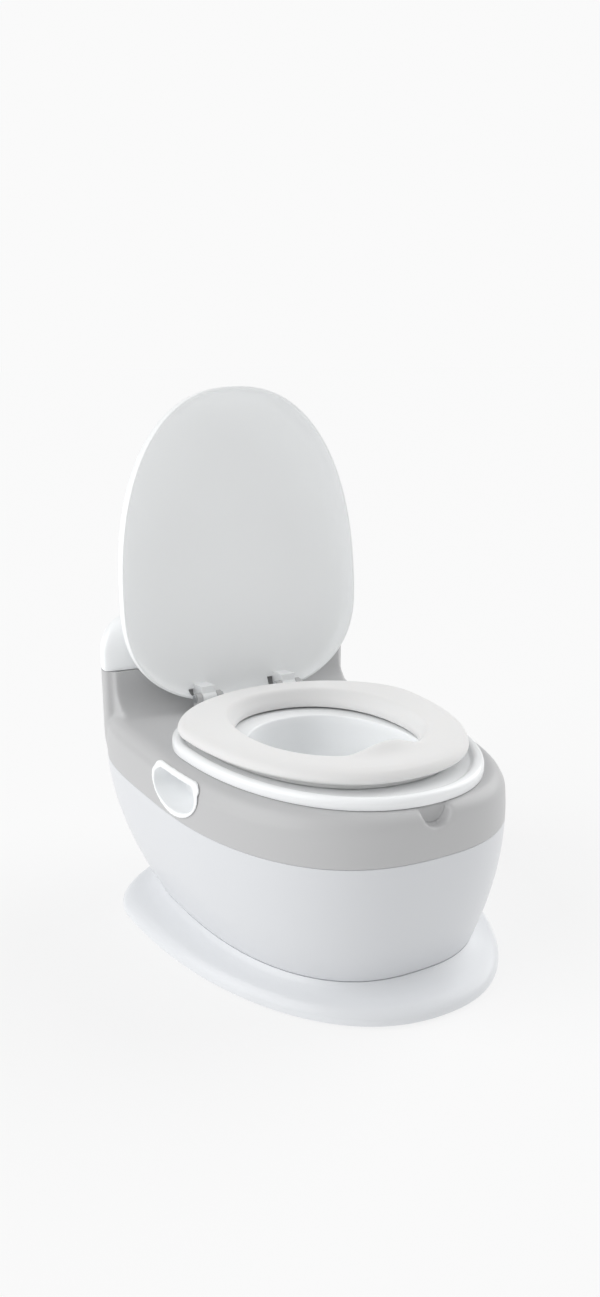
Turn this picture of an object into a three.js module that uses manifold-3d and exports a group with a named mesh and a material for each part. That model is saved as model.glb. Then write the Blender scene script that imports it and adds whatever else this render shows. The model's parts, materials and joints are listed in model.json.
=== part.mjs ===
// Potty training chair: a tapered shell on an oval plinth, with a lift-out bowl,
// a padded seat ring, a hinged lid and a small cistern box with a lift-off cap.
// Units are millimetres. +Z is up and the sitter faces -Y. The floor is z = 0.
// The lid stands open and the seat ring lies on the bowl.

import * as THREE from 'three';
import { mergeVertices } from 'three/addons/utils/BufferGeometryUtils.js';
import Module from 'manifold-3d';

const wasm = await Module();
wasm.setup();

// Shared sizes
const wall = 3;
const seamGap = 0.3;
const overrun = 5;
const ringSides = 42;
const roundSides = 12;

// Heights of the stack: each level follows the one below it
const plinthTop = 24;
const seamHeight = 127;
const bandHeight = 39;
const deckHeight = seamHeight + bandHeight;
const tankRise = 39;
const tankHeight = deckHeight + tankRise;
const capHeight = 46;
const capTop = tankHeight + capHeight;

// Shell plan at the deck, then its swell at the belly and its taper to the plinth
const deckHalfWidth = 133;
const deckFrontY = -203;
const deckRearY = 191;
const bellyHeight = 100;
const bellySideSwell = 5;
const bellyFrontTaper = 2;
const bellyRearTaper = 10;
const bellyHalfWidth = deckHalfWidth + bellySideSwell;
const bellyFrontY = deckFrontY + bellyFrontTaper;
const bellyRearY = deckRearY - bellyRearTaper;
const plinthSideTaper = 17;
const plinthFrontTaper = 18;
const plinthRearTaper = 59;
const plinthHalfWidth = deckHalfWidth - plinthSideTaper;
const plinthFrontY = deckFrontY + plinthFrontTaper;
const plinthRearY = deckRearY - plinthRearTaper;
const shellWidestY = 10;
const shellFrontPower = 2.5;
const plinthRearPower = 2.7;
const bellyRearPower = 3.6;
const deckRearPower = 3.9;
const shoulderRadius = 11;
const pastFlankX = Math.max(bellyHalfWidth, deckHalfWidth) + overrun;
const pastFrontY = Math.min(bellyFrontY, deckFrontY) - overrun;

// Oval plinth under the shell
const baseSideReach = 32;
const baseFrontReach = 33;
const baseRearReach = 6;
const baseHalfWidth = plinthHalfWidth + baseSideReach;
const baseFrontY = plinthFrontY - baseFrontReach;
const baseRearY = plinthRearY + baseRearReach;
const baseWidestY = 44;
const baseClearance = 2;
const baseEdgeHeight = 8;
const baseFrontPower = 2.2;
const baseRearPower = 2.3;

// Bowl: its rim is set back from the edge of the deck
const rimSideSetBack = 14;
const rimFrontSetBack = 9;
const rimHalfWidth = deckHalfWidth - rimSideSetBack;
const rimFrontY = deckFrontY + rimFrontSetBack;
const rimRearY = 90;
const rimWidestY = -10;
const rimFrontPower = 2.2;
const rimRearPower = 1.9;
const rimRise = 9.2;
const rimLipTop = deckHeight + rimRise;
const rimLipWidth = 9;
const bowlWall = 2.6;
const flangeSideWidth = 51;
const flangeFrontWidth = 44;
const flangeRearWidth = 64;
const bowlMouthHalfWidth = rimHalfWidth - flangeSideWidth;
const bowlMouthFrontY = rimFrontY + flangeFrontWidth;
const bowlMouthRearY = rimRearY - flangeRearWidth;
const bowlMouthWidestY = -70;
const bowlMouthPower = 2.25;
const bowlMouthRise = 3;
const bowlMouthHeight = deckHeight + bowlMouthRise;
const bowlDepth = 93;
const bowlFloorHeight = bowlMouthHeight - bowlDepth;
const bowlFloorInset = 22;
const deckOpeningClearance = 6;

// Seat ring: it lies on the bowl's flange, inside the rim
const seatSideSetBack = 5;
const seatFrontSetBack = 20;
const seatRearSetBack = 11;
const seatHalfWidth = rimHalfWidth - seatSideSetBack;
const seatFrontY = rimFrontY + seatFrontSetBack;
const seatRearY = rimRearY - seatRearSetBack;
const seatWidestY = -8;
const seatSideWidth = 43;
const seatFrontWidth = 45;
const seatRearWidth = 34;
const seatHoleHalfWidth = seatHalfWidth - seatSideWidth;
const seatHoleFrontY = seatFrontY + seatFrontWidth;
const seatHoleRearY = seatRearY - seatRearWidth;
const seatHoleWidestY = -45;
const seatHolePower = 2.2;
const seatHoleFlare = 5;
const seatRise = 15.3;
const seatTop = rimLipTop + seatRise;
const seatSkirtDrop = 2.3;
const seatSkirtBottom = rimLipTop - seatSkirtDrop;
const seatSkirt = 4;
const seatFramePlate = 2.6;
const seatFrameInset = 7;
const seatFootWidth = 4;
const guardHeight = 8;
const guardHalfAngle = 0.42;

// Hinge axis, behind the bowl's rim
const hingeBehindRim = 7;
const hingeY = rimRearY + hingeBehindRim;
const hingeRise = 12.5;
const hingeHeight = deckHeight + hingeRise;
const hingeHalfSpacing = 42;
const knuckleWidth = 14;
const earWidth = 5;
const earGap = 0.5;
const barrelRadius = 5;
const pinRadius = 2.2;
const pinClearance = 0.4;
const pinHeadRadius = 3.6;
const pinHeadWidth = 1.6;
const armReach = 10;
const earNotch = 8;

// Lid, written lying closed about its hinge axis: it closes over the seat ring
const lidWall = 2.4;
const lidEdgeClearance = 2.6;
const lidHalfWidth = seatHalfWidth + lidEdgeClearance + lidWall;
const lidRearReach = -7;
const lidWidestReach = 88;
const lidTipReach = hingeY - seatFrontY + lidEdgeClearance + lidWall;
const lidFrontPower = 2.3;
const lidRearPower = 2.7;
const lidSideDrop = 3;
const lidRearRise = 3;
const lidHingeClearance = 8;
const lidHingeCrown = seatTop - hingeHeight + lidHingeClearance;
const lidGuardClearance = 5;
const lidCrown = seatTop + guardHeight - hingeHeight + lidGuardClearance;
const lidDomePower = 4.6;
const lidLeanDegrees = 3.5;

// Cistern box behind the lid
const tankClearance = 7.6;
const tankFrontY = hingeY + lidHingeCrown + lidWall + tankClearance;
const tankRearSetBack = 1;
const tankRearY = deckRearY - tankRearSetBack;
const tankFrontDepth = 10;
const tankWidestY = tankFrontY + tankFrontDepth;
const tankSideSetBack = 6;
const tankHalfWidth = deckHalfWidth - tankSideSetBack;
const tankFrontPower = 3;
const tankRearPower = 2.3;
const tankFloorDrop = 16;
const tankFloor = deckHeight - tankFloorDrop;
const coveRadius = 26;
const coveSideSetBack = 5;
const coveHalfWidth = tankHalfWidth - coveSideSetBack;
const coveFrontReach = 67;
const coveFrontY = tankFrontY - coveFrontReach;
const coveRearReach = 33;
const coveRearY = tankFrontY + coveRearReach;
const coveFrontPower = 2.6;
const coveRearPower = 4;
const capShoulder = 30;
const capFrontSetBack = 14;
const capSkirt = 4;
const capSkirtClearance = 1.6;

// Hand recesses in the flanks, between the deck and the seam
const recessDrop = 5;
const recessSill = 5;
const recessTopHeight = deckHeight - recessDrop;
const recessDepthOfFace = bandHeight - recessDrop - recessSill;
const recessCentreY = -30;
const recessHalfLength = 36;
const recessPocket = 20;
const recessRim = 4;
const recessRimProud = 1.6;
const recessWall = 2;
const recessInset = 36.8;
const recessMiddle = recessTopHeight - recessDepthOfFace / 2;
const flankX = through(recessMiddle, plinthHalfWidth, bellyHalfWidth, deckHalfWidth);
const recessMouthX = flankX - recessInset;

// Finger notch at the front of the deck
const notchRadius = 13;
const notchDepth = 9;

// Feet, set in from the edge of the plinth
const footRadius = 11;
const footHeight = 4;
const footStemRadius = 4;
const footStemHeight = 5;
const footSideInset = 56;
const footFrontInset = 88;
const footBackInset = 46;
const footX = baseHalfWidth - footSideInset;
const footFrontY = baseFrontY + footFrontInset;
const footBackY = baseRearY - footBackInset;

// Screws and their lugs
const screwRadius = 2;
const screwHeadRadius = 4;
const screwHeadHeight = 2.6;
const screwLength = 20;
const screwClearance = 0.4;
const lugRadius = 7;
const lugHeight = 13;
const lugSideShare = 0.8116;
const lugFrontShare = 0.5373;
const lugBackShare = 0.5083;
const lugX = bellyHalfWidth * lugSideShare;
const lugFrontY = bellyFrontY * lugFrontShare;
const lugBackY = bellyRearY * lugBackShare;
const baseScrewSideStep = 30;
const baseScrewFrontStep = 12;
const baseScrewBackStep = 26;
const baseScrewX = footX - baseScrewSideStep;
const baseScrewFrontY = footFrontY + baseScrewFrontStep;
const baseScrewBackY = footBackY - baseScrewBackStep;
const bossHeight = screwLength;

// Sections of one quarter turn that rounds an edge, as shares of a right angle
const edgeShares = [0.2, 0.45, 0.7, 1];

function planOutline(halfWidth, frontY, rearY, widestY, frontPower, rearPower) {
  return { halfWidth, frontY, rearY, widestY, frontPower, rearPower };
}

function grow(plan, distance) {
  return {
    ...plan,
    halfWidth: plan.halfWidth + distance,
    frontY: plan.frontY - distance,
    rearY: plan.rearY + distance,
  };
}

function signedPower(value, power) {
  return Math.sign(value) * Math.abs(value) ** power;
}

// A point of the plan outline: turn 0 is the front, a quarter turn is +X.
function planPoint(plan, turn) {
  const along = Math.cos(turn);
  const across = Math.sin(turn);
  const power = along > 0 ? plan.frontPower : plan.rearPower;
  const reach = along > 0 ? plan.widestY - plan.frontY : plan.rearY - plan.widestY;
  const x = plan.halfWidth * signedPower(across, 2 / power);
  const y = plan.widestY - reach * signedPower(along, 2 / power);
  return new THREE.Vector2(x, y);
}

function turnOf(index) {
  return (2 * Math.PI * (index + 0.5)) / ringSides;
}

// One ring of points over a plan; height is a number or a function of the point.
function ring(plan, height) {
  const points = [];
  for (let index = 0; index < ringSides; index += 1) {
    const turn = turnOf(index);
    const { x, y } = planPoint(plan, turn);
    const z = typeof height === 'function' ? height(x, y, turn) : height;
    points.push(new THREE.Vector3(x, y, z));
  }
  return points;
}

function centreOf(points) {
  const centre = new THREE.Vector3();
  points.forEach((point) => centre.add(point));
  return centre.divideScalar(points.length);
}

// A closed skin over rings of points. With ends closed it caps the first and
// last ring; without, the last ring joins the first.
function skin(rings, capped = true) {
  const vertices = rings.flat();
  const faces = [];
  const spans = capped ? rings.length - 1 : rings.length;
  for (let row = 0; row < spans; row += 1) {
    const low = row * ringSides;
    const high = ((row + 1) % rings.length) * ringSides;
    for (let index = 0; index < ringSides; index += 1) {
      const next = (index + 1) % ringSides;
      faces.push(low + index, low + next, high + next);
      faces.push(low + index, high + next, high + index);
    }
  }
  if (capped) {
    capEnd(vertices, faces, rings[0], 0, true);
    capEnd(vertices, faces, rings[rings.length - 1], (rings.length - 1) * ringSides, false);
  }
  const geometry = new THREE.BufferGeometry();
  const positions = vertices.flatMap((point) => [point.x, point.y, point.z]);
  geometry.setAttribute('position', new THREE.Float32BufferAttribute(positions, 3));
  geometry.setIndex(faces);
  return geometry;
}

function capEnd(vertices, faces, points, first, isStart) {
  const hub = vertices.length;
  vertices.push(centreOf(points));
  for (let index = 0; index < ringSides; index += 1) {
    const next = (index + 1) % ringSides;
    if (isStart) {
      faces.push(hub, first + next, first + index);
    } else {
      faces.push(hub, first + index, first + next);
    }
  }
}

// Solids for cutting and joining
function toSolid(source) {
  const plain = source.clone();
  plain.deleteAttribute('normal');
  plain.deleteAttribute('uv');
  const merged = mergeVertices(plain);
  const mesh = new wasm.Mesh({
    numProp: 3,
    vertProperties: new Float32Array(merged.attributes.position.array),
    triVerts: new Uint32Array(merged.index.array),
  });
  return new wasm.Manifold(mesh);
}

function toGeometry(solid) {
  const mesh = solid.getMesh();
  const geometry = new THREE.BufferGeometry();
  geometry.setAttribute('position', new THREE.Float32BufferAttribute(mesh.vertProperties, 3));
  geometry.setIndex(Array.from(mesh.triVerts));
  geometry.computeVertexNormals();
  return geometry;
}

function loft(rings) {
  return toSolid(skin(rings));
}

function joined(solids) {
  return solids.reduce((sum, solid) => sum.add(solid));
}

function cylinder(radius, height, x, y, z) {
  const geometry = new THREE.CylinderGeometry(radius, radius, height, roundSides);
  geometry.rotateX(Math.PI / 2);
  geometry.translate(x, y, z + height / 2);
  return toSolid(geometry);
}

// A round bar along X, centred at x.
function crossBar(radius, length, x, y, z) {
  const geometry = new THREE.CylinderGeometry(radius, radius, length, roundSides);
  geometry.rotateZ(Math.PI / 2);
  geometry.translate(x, y, z);
  return toSolid(geometry);
}

function block(low, high) {
  const size = new THREE.Vector3().subVectors(high, low);
  const geometry = new THREE.BoxGeometry(size.x, size.y, size.z);
  const centre = new THREE.Vector3().addVectors(low, high).multiplyScalar(0.5);
  geometry.translate(centre.x, centre.y, centre.z);
  return toSolid(geometry);
}

// A prism along X whose section is a list of [y, z] points.
function sidePrism(points, halfWidth) {
  const shape = new THREE.Shape(points.map(([y, z]) => new THREE.Vector2(y, z)));
  const geometry = new THREE.ExtrudeGeometry(shape, { depth: 2 * halfWidth, bevelEnabled: false });
  geometry.translate(0, 0, -halfWidth);
  geometry.applyMatrix4(new THREE.Matrix4().set(0, 0, 1, 0, 1, 0, 0, 0, 0, 1, 0, 0, 0, 0, 0, 1));
  return toSolid(geometry);
}

// A turned solid on the Z axis from [radius, height] points that start and end on it.
function turned(points) {
  const profile = points.map(([radius, height]) => new THREE.Vector2(radius, height));
  const geometry = new THREE.LatheGeometry(profile, roundSides);
  geometry.rotateX(Math.PI / 2);
  return toSolid(geometry);
}

// The shell's plan at a height: a smooth curve through its three stations.
function through(height, low, middle, high) {
  const toLow = (height - bellyHeight) * (height - deckHeight);
  const toMiddle = (height - plinthTop) * (height - deckHeight);
  const toHigh = (height - plinthTop) * (height - bellyHeight);
  const lowShare = toLow / ((plinthTop - bellyHeight) * (plinthTop - deckHeight));
  const middleShare = toMiddle / ((bellyHeight - plinthTop) * (bellyHeight - deckHeight));
  const highShare = toHigh / ((deckHeight - plinthTop) * (deckHeight - bellyHeight));
  return low * lowShare + middle * middleShare + high * highShare;
}

function shellPlan(height) {
  return planOutline(
    through(height, plinthHalfWidth, bellyHalfWidth, deckHalfWidth),
    through(height, plinthFrontY, bellyFrontY, deckFrontY),
    through(height, plinthRearY, bellyRearY, deckRearY),
    shellWidestY,
    shellFrontPower,
    through(height, plinthRearPower, bellyRearPower, deckRearPower),
  );
}

const basePlan = planOutline(
  baseHalfWidth, baseFrontY, baseRearY, baseWidestY, baseFrontPower, baseRearPower);
const rimPlan = planOutline(
  rimHalfWidth, rimFrontY, rimRearY, rimWidestY, rimFrontPower, rimRearPower);
const mouthPlan = planOutline(
  bowlMouthHalfWidth, bowlMouthFrontY, bowlMouthRearY, bowlMouthWidestY,
  bowlMouthPower, bowlMouthPower);
const seatPlan = planOutline(
  seatHalfWidth, seatFrontY, seatRearY, seatWidestY, rimFrontPower, rimRearPower);
const seatHolePlan = planOutline(
  seatHoleHalfWidth, seatHoleFrontY, seatHoleRearY, seatHoleWidestY,
  seatHolePower, seatHolePower);
const tankPlan = planOutline(
  tankHalfWidth, tankFrontY, tankRearY, tankWidestY, tankFrontPower, tankRearPower);
const covePlan = planOutline(
  coveHalfWidth, coveFrontY, coveRearY, tankFrontY, coveFrontPower, coveRearPower);
const capCrownPlan = planOutline(
  tankHalfWidth - capShoulder, tankFrontY + capFrontSetBack, tankRearY - capShoulder,
  (tankFrontY + tankRearY) / 2, tankFrontPower, tankRearPower);
const lidPlan = planOutline(
  lidHalfWidth, -lidTipReach, -lidRearReach, -lidWidestReach, lidFrontPower, lidRearPower);

// Heights between two levels, both ends included
function levels(low, high, count) {
  return Array.from({ length: count + 1 }, (_, step) => low + ((high - low) * step) / count);
}

function shellRings(low, high, count, inset) {
  return levels(low, high, count).map((height) => ring(grow(shellPlan(height), -inset), height));
}

// Rings that round a top edge inward by the radius
function roundedTop(plan, top, radius) {
  return edgeShares.map((share) => {
    const angle = (share * Math.PI) / 2;
    const inset = radius * (1 - Math.cos(angle));
    return ring(grow(plan, -inset), top - radius + radius * Math.sin(angle));
  });
}

// Rings that dome from a plan up to its crown plan
function domedTop(plan, crown, low, top) {
  return edgeShares.map((share) => {
    const angle = (share * Math.PI) / 2;
    const height = low + (top - low) * Math.sin(angle);
    return ring(between(plan, crown, 1 - Math.cos(angle)), height);
  });
}

// Base flange
function plinthSide(inset, lift) {
  const edge = grow(basePlan, -inset);
  const crown = grow(shellPlan(plinthTop), -inset);
  const top = plinthTop - seamGap - lift;
  const blend = (share) => planOutline(
    THREE.MathUtils.lerp(edge.halfWidth, crown.halfWidth, share),
    THREE.MathUtils.lerp(edge.frontY, crown.frontY, share),
    THREE.MathUtils.lerp(edge.rearY, crown.rearY, share),
    THREE.MathUtils.lerp(edge.widestY, crown.widestY, share),
    THREE.MathUtils.lerp(edge.frontPower, crown.frontPower, share),
    THREE.MathUtils.lerp(edge.rearPower, crown.rearPower, share),
  );
  const shoulder = baseEdgeHeight - lift;
  const slope = top - shoulder;
  const slopeShares = [[0, 0], [0.12, 0.22], [0.5, 0.5], [0.82, 0.74], [1, 1]];
  return slopeShares.map(([inShare, upShare]) => ring(blend(inShare), shoulder + slope * upShare));
}

function footPlaces() {
  const places = [];
  for (const side of [-1, 1]) {
    places.push(new THREE.Vector2(side * footX, footFrontY));
    places.push(new THREE.Vector2(side * footX, footBackY));
  }
  return places;
}

function baseScrewPlaces() {
  const places = [];
  for (const side of [-1, 1]) {
    places.push(new THREE.Vector2(side * baseScrewX, baseScrewFrontY));
    places.push(new THREE.Vector2(side * baseScrewX, baseScrewBackY));
  }
  return places;
}

function buildBaseFlange() {
  const outer = loft([ring(basePlan, baseClearance), ...plinthSide(0, 0)]);
  const hollow = loft([
    ring(grow(basePlan, -wall), baseClearance - overrun),
    ...plinthSide(wall, wall),
  ]);
  let solid = outer.subtract(hollow);
  const socketTop = plinthTop - seamGap - wall / 2;
  for (const { x, y } of footPlaces()) {
    const post = cylinder(footRadius, socketTop - footHeight, x, y, footHeight);
    solid = solid.add(post.intersect(outer));
    const socketRadius = footStemRadius + screwClearance;
    const socketDepth = footStemHeight + screwClearance + overrun;
    const socket = cylinder(socketRadius, socketDepth, x, y, footHeight - overrun);
    solid = solid.subtract(socket);
  }
  for (const { x, y } of baseScrewPlaces()) {
    solid = solid.subtract(cylinder(screwRadius + screwClearance, plinthTop, x, y, baseClearance));
  }
  return solid;
}

function buildFoot() {
  return turned([
    [0, 0],
    [footRadius, 0],
    [footRadius, footHeight - seamGap],
    [footStemRadius, footHeight - seamGap],
    [footStemRadius, footHeight + footStemHeight],
    [0, footHeight + footStemHeight],
  ]);
}

function buildScrew() {
  return turned([
    [0, 0],
    [screwHeadRadius, 0],
    [screwHeadRadius, screwHeadHeight],
    [screwRadius, screwHeadHeight],
    [screwRadius, screwLength - screwRadius],
    [0, screwLength],
  ]);
}

// Lower shell
function lugPlaces() {
  const places = [];
  for (const side of [-1, 1]) {
    places.push(new THREE.Vector2(side * lugX, lugFrontY));
    places.push(new THREE.Vector2(side * lugX, lugBackY));
  }
  return places;
}

// A screw lug that reaches from its axis to the shell wall, trimmed by the shell.
function lug(place, low, envelope) {
  const side = Math.sign(place.x);
  const near = side * (Math.abs(place.x) - lugRadius);
  const far = side * pastFlankX;
  const lowCorner = new THREE.Vector3(Math.min(near, far), place.y - lugRadius, low);
  const highCorner = new THREE.Vector3(Math.max(near, far), place.y + lugRadius, low + lugHeight);
  return block(lowCorner, highCorner).intersect(envelope);
}

function buildLowerShell() {
  const top = seamHeight - seamGap / 2;
  const outer = loft(shellRings(plinthTop, top, 5, 0));
  const innerBase = ring(grow(shellPlan(plinthTop + wall), -wall), plinthTop + wall);
  const innerRings = shellRings(plinthTop + wall + overrun, top + overrun, 3, wall);
  let solid = outer.subtract(loft([innerBase, ...innerRings]));
  for (const { x, y } of baseScrewPlaces()) {
    const boss = cylinder(lugRadius - wall / 2, bossHeight, x, y, plinthTop + wall / 2);
    solid = solid.add(boss);
    const pilot = cylinder(screwRadius + seamGap, bossHeight - wall, x, y, plinthTop - seamGap);
    solid = solid.subtract(pilot);
  }
  for (const place of lugPlaces()) {
    solid = solid.add(lug(place, top - lugHeight, outer));
    const bore = cylinder(
      screwRadius + screwClearance, lugHeight + 2 * overrun, place.x, place.y,
      top - lugHeight - overrun);
    solid = solid.subtract(bore);
  }
  return solid;
}

// Upper body: deck, cove and cistern box
function coveSection(low) {
  const centreY = tankFrontY - coveRadius;
  const centreZ = deckHeight + coveRadius;
  const steps = 8;
  const section = [];
  for (let step = 0; step <= steps; step += 1) {
    const angle = (Math.PI / 2) * (step / steps);
    const y = centreY + coveRadius * Math.sin(angle);
    const z = centreZ - coveRadius * Math.cos(angle);
    section.push([y, z]);
  }
  section.push([tankFrontY, tankHeight]);
  section.push([coveRearY + overrun, tankHeight]);
  section.push([coveRearY + overrun, low]);
  section.push([centreY, low]);
  return section;
}

function upperOuter() {
  const shoulderLow = deckHeight - shoulderRadius;
  const deckBody = loft([
    ...shellRings(seamHeight + seamGap / 2, shoulderLow, 3, 0),
    ...roundedTop(shellPlan(deckHeight), deckHeight, shoulderRadius),
  ]);
  const tankBody = loft([
    ring(grow(tankPlan, -wall), seamHeight + seamGap),
    ring(tankPlan, deckHeight - shoulderRadius),
    ring(tankPlan, deckHeight),
    ring(tankPlan, tankHeight),
  ]);
  const column = loft([ring(covePlan, deckHeight - wall), ring(covePlan, tankHeight)]);
  const cove = column.intersect(sidePrism(coveSection(deckHeight - wall), pastFlankX));
  return joined([deckBody, tankBody, cove]);
}

function upperCavity() {
  const low = seamHeight - overrun;
  const underTank = loft(shellRings(low, tankFloor - wall, 2, wall));
  const frontRings = shellRings(low, deckHeight - shoulderRadius, 2, wall);
  const innerTop = grow(shellPlan(deckHeight), -wall - shoulderRadius / 2);
  const front = loft([...frontRings, ring(innerTop, deckHeight - wall)]);
  const frontLimit = block(
    new THREE.Vector3(-pastFlankX, pastFrontY, low),
    new THREE.Vector3(pastFlankX, tankFrontY - coveRadius, deckHeight),
  );
  return underTank.add(front.intersect(frontLimit));
}

function hingeEar(x) {
  const low = new THREE.Vector3(x - earWidth / 2, hingeY - barrelRadius, deckHeight - wall / 2);
  const high = new THREE.Vector3(x + earWidth / 2, hingeY + barrelRadius, hingeHeight);
  const post = block(low, high);
  const round = crossBar(barrelRadius, earWidth, x, hingeY, hingeHeight);
  return post.add(round);
}

function hingeEars() {
  const ears = [];
  const offset = knuckleWidth / 2 + earGap + earWidth / 2;
  for (const side of [-1, 1]) {
    ears.push(hingeEar(side * hingeHalfSpacing - offset));
    ears.push(hingeEar(side * hingeHalfSpacing + offset));
  }
  return joined(ears);
}

function pinBores() {
  const radius = pinRadius + pinClearance;
  const length = 2 * (knuckleWidth + earWidth + overrun);
  return joined([-1, 1].map((side) => (
    crossBar(radius, length, side * hingeHalfSpacing, hingeY, hingeHeight))));
}

function deckOpening() {
  const plan = grow(mouthPlan, bowlWall + deckOpeningClearance);
  return loft([ring(plan, seamHeight), ring(plan, deckHeight + overrun)]);
}

function notchCutter() {
  const geometry = new THREE.CylinderGeometry(notchRadius, notchRadius, 2 * notchDepth, roundSides);
  geometry.translate(0, deckFrontY, deckHeight);
  return toSolid(geometry);
}

function notchPocket() {
  const grown = new THREE.CylinderGeometry(
    notchRadius + wall, notchRadius + wall, 2 * (notchDepth + wall), roundSides);
  grown.translate(0, deckFrontY, deckHeight);
  return toSolid(grown);
}

function buildUpperBody() {
  const outer = upperOuter();
  const tankInside = grow(tankPlan, -wall);
  const tankHollow = loft([
    ring(tankInside, tankFloor),
    ring(tankInside, deckHeight),
    ring(tankInside, tankHeight + overrun),
  ]);
  const notchWall = notchPocket().intersect(outer);
  let solid = outer.subtract(upperCavity()).add(notchWall);
  solid = solid.subtract(tankHollow).subtract(deckOpening()).subtract(notchCutter());
  solid = solid.add(hingeEars()).subtract(pinBores());
  for (const side of [-1, 1]) {
    solid = solid.subtract(recessHole(side));
  }
  for (const place of lugPlaces()) {
    const low = seamHeight + seamGap / 2;
    solid = solid.add(lug(place, low, outer));
    const depth = lugHeight - wall;
    solid = solid.subtract(
      cylinder(screwRadius + seamGap, depth + overrun, place.x, place.y, low - overrun));
  }
  return solid;
}

// Hand recess: a D-shaped cup with a raised rim, flat side up
function recessOutline(margin) {
  const shape = new THREE.Shape();
  const halfLength = recessHalfLength + margin;
  const top = recessTopHeight + margin;
  const bottom = recessTopHeight - recessDepthOfFace - margin;
  const corner = recessRim * 2;
  const middle = (top + bottom) / 2;
  shape.moveTo(recessCentreY - halfLength + corner, top);
  shape.lineTo(recessCentreY + halfLength - corner, top);
  shape.quadraticCurveTo(
    recessCentreY + halfLength, top, recessCentreY + halfLength, top - corner);
  shape.bezierCurveTo(
    recessCentreY + halfLength, middle, recessCentreY + halfLength / 2, bottom,
    recessCentreY, bottom);
  shape.bezierCurveTo(
    recessCentreY - halfLength / 2, bottom, recessCentreY - halfLength, middle,
    recessCentreY - halfLength, top - corner);
  shape.quadraticCurveTo(
    recessCentreY - halfLength, top, recessCentreY - halfLength + corner, top);
  return shape.extractPoints(6).shape;
}

function recessPrism(side, margin, nearX, farX) {
  const shape = new THREE.Shape(recessOutline(margin));
  const geometry = new THREE.ExtrudeGeometry(shape, { depth: farX - nearX, bevelEnabled: false });
  geometry.translate(0, 0, nearX);
  geometry.applyMatrix4(new THREE.Matrix4().set(0, 0, 1, 0, 1, 0, 0, 0, 0, 1, 0, 0, 0, 0, 0, 1));
  const solid = toSolid(geometry);
  return side > 0 ? solid : solid.mirror([1, 0, 0]);
}

const recessFloorX = recessMouthX + recessPocket / 2;

function recessHole(side) {
  return recessPrism(side, seamGap, recessMouthX - overrun, pastFlankX);
}

function flankSolid(growth) {
  const shoulderLow = deckHeight - shoulderRadius;
  const plan = grow(shellPlan(deckHeight), growth);
  return loft([
    ...shellRings(seamHeight - overrun, shoulderLow, 3, -growth),
    ...roundedTop(plan, deckHeight + growth, shoulderRadius),
  ]);
}

function buildRecess(side) {
  const flange = recessPrism(side, recessRim, recessMouthX, pastFlankX)
    .intersect(flankSolid(recessRimProud + seamGap))
    .subtract(flankSolid(seamGap));
  const cup = recessPrism(side, 0, recessFloorX - recessWall, pastFlankX)
    .intersect(flankSolid(recessRimProud + seamGap));
  const pocket = recessPrism(side, -recessWall, recessFloorX, pastFlankX + overrun);
  return flange.add(cup).subtract(pocket);
}

// Cistern cap: a domed cover with a short locating skirt
function buildTankCap() {
  const low = tankHeight + seamGap;
  const shoulderLow = capTop - capShoulder;
  const outer = loft([
    ring(tankPlan, low),
    ring(tankPlan, shoulderLow),
    ...domedTop(tankPlan, capCrownPlan, shoulderLow, capTop),
  ]);
  const inside = grow(tankPlan, -wall);
  const hollow = loft([
    ring(inside, low - overrun),
    ring(inside, shoulderLow),
    ...domedTop(inside, grow(capCrownPlan, -wall), shoulderLow, capTop - wall),
  ]);
  const skirtPlan = grow(tankPlan, -wall - capSkirtClearance);
  const skirtRoot = low + wall;
  const skirt = loft([ring(skirtPlan, low - capSkirt), ring(skirtPlan, skirtRoot)])
    .subtract(loft([
      ring(grow(skirtPlan, -wall), low - capSkirt - overrun),
      ring(grow(skirtPlan, -wall), skirtRoot + overrun),
    ]));
  const ledge = loft([ring(grow(tankPlan, -wall / 2), low + wall / 2), ring(inside, skirtRoot)])
    .subtract(loft([
      ring(grow(skirtPlan, -wall), low - overrun),
      ring(grow(skirtPlan, -wall), skirtRoot + overrun),
    ]));
  return outer.subtract(hollow).add(ledge).add(skirt);
}

// Bowl
function bowlSide(offset, lift) {
  const rounds = levels(0, 1, 4);
  return rounds.map((downShare) => {
    const depth = bowlMouthHeight - bowlFloorHeight;
    const inset = bowlFloorInset * downShare ** 2;
    return ring(grow(mouthPlan, offset - inset), bowlMouthHeight - lift - depth * downShare);
  });
}

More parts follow.
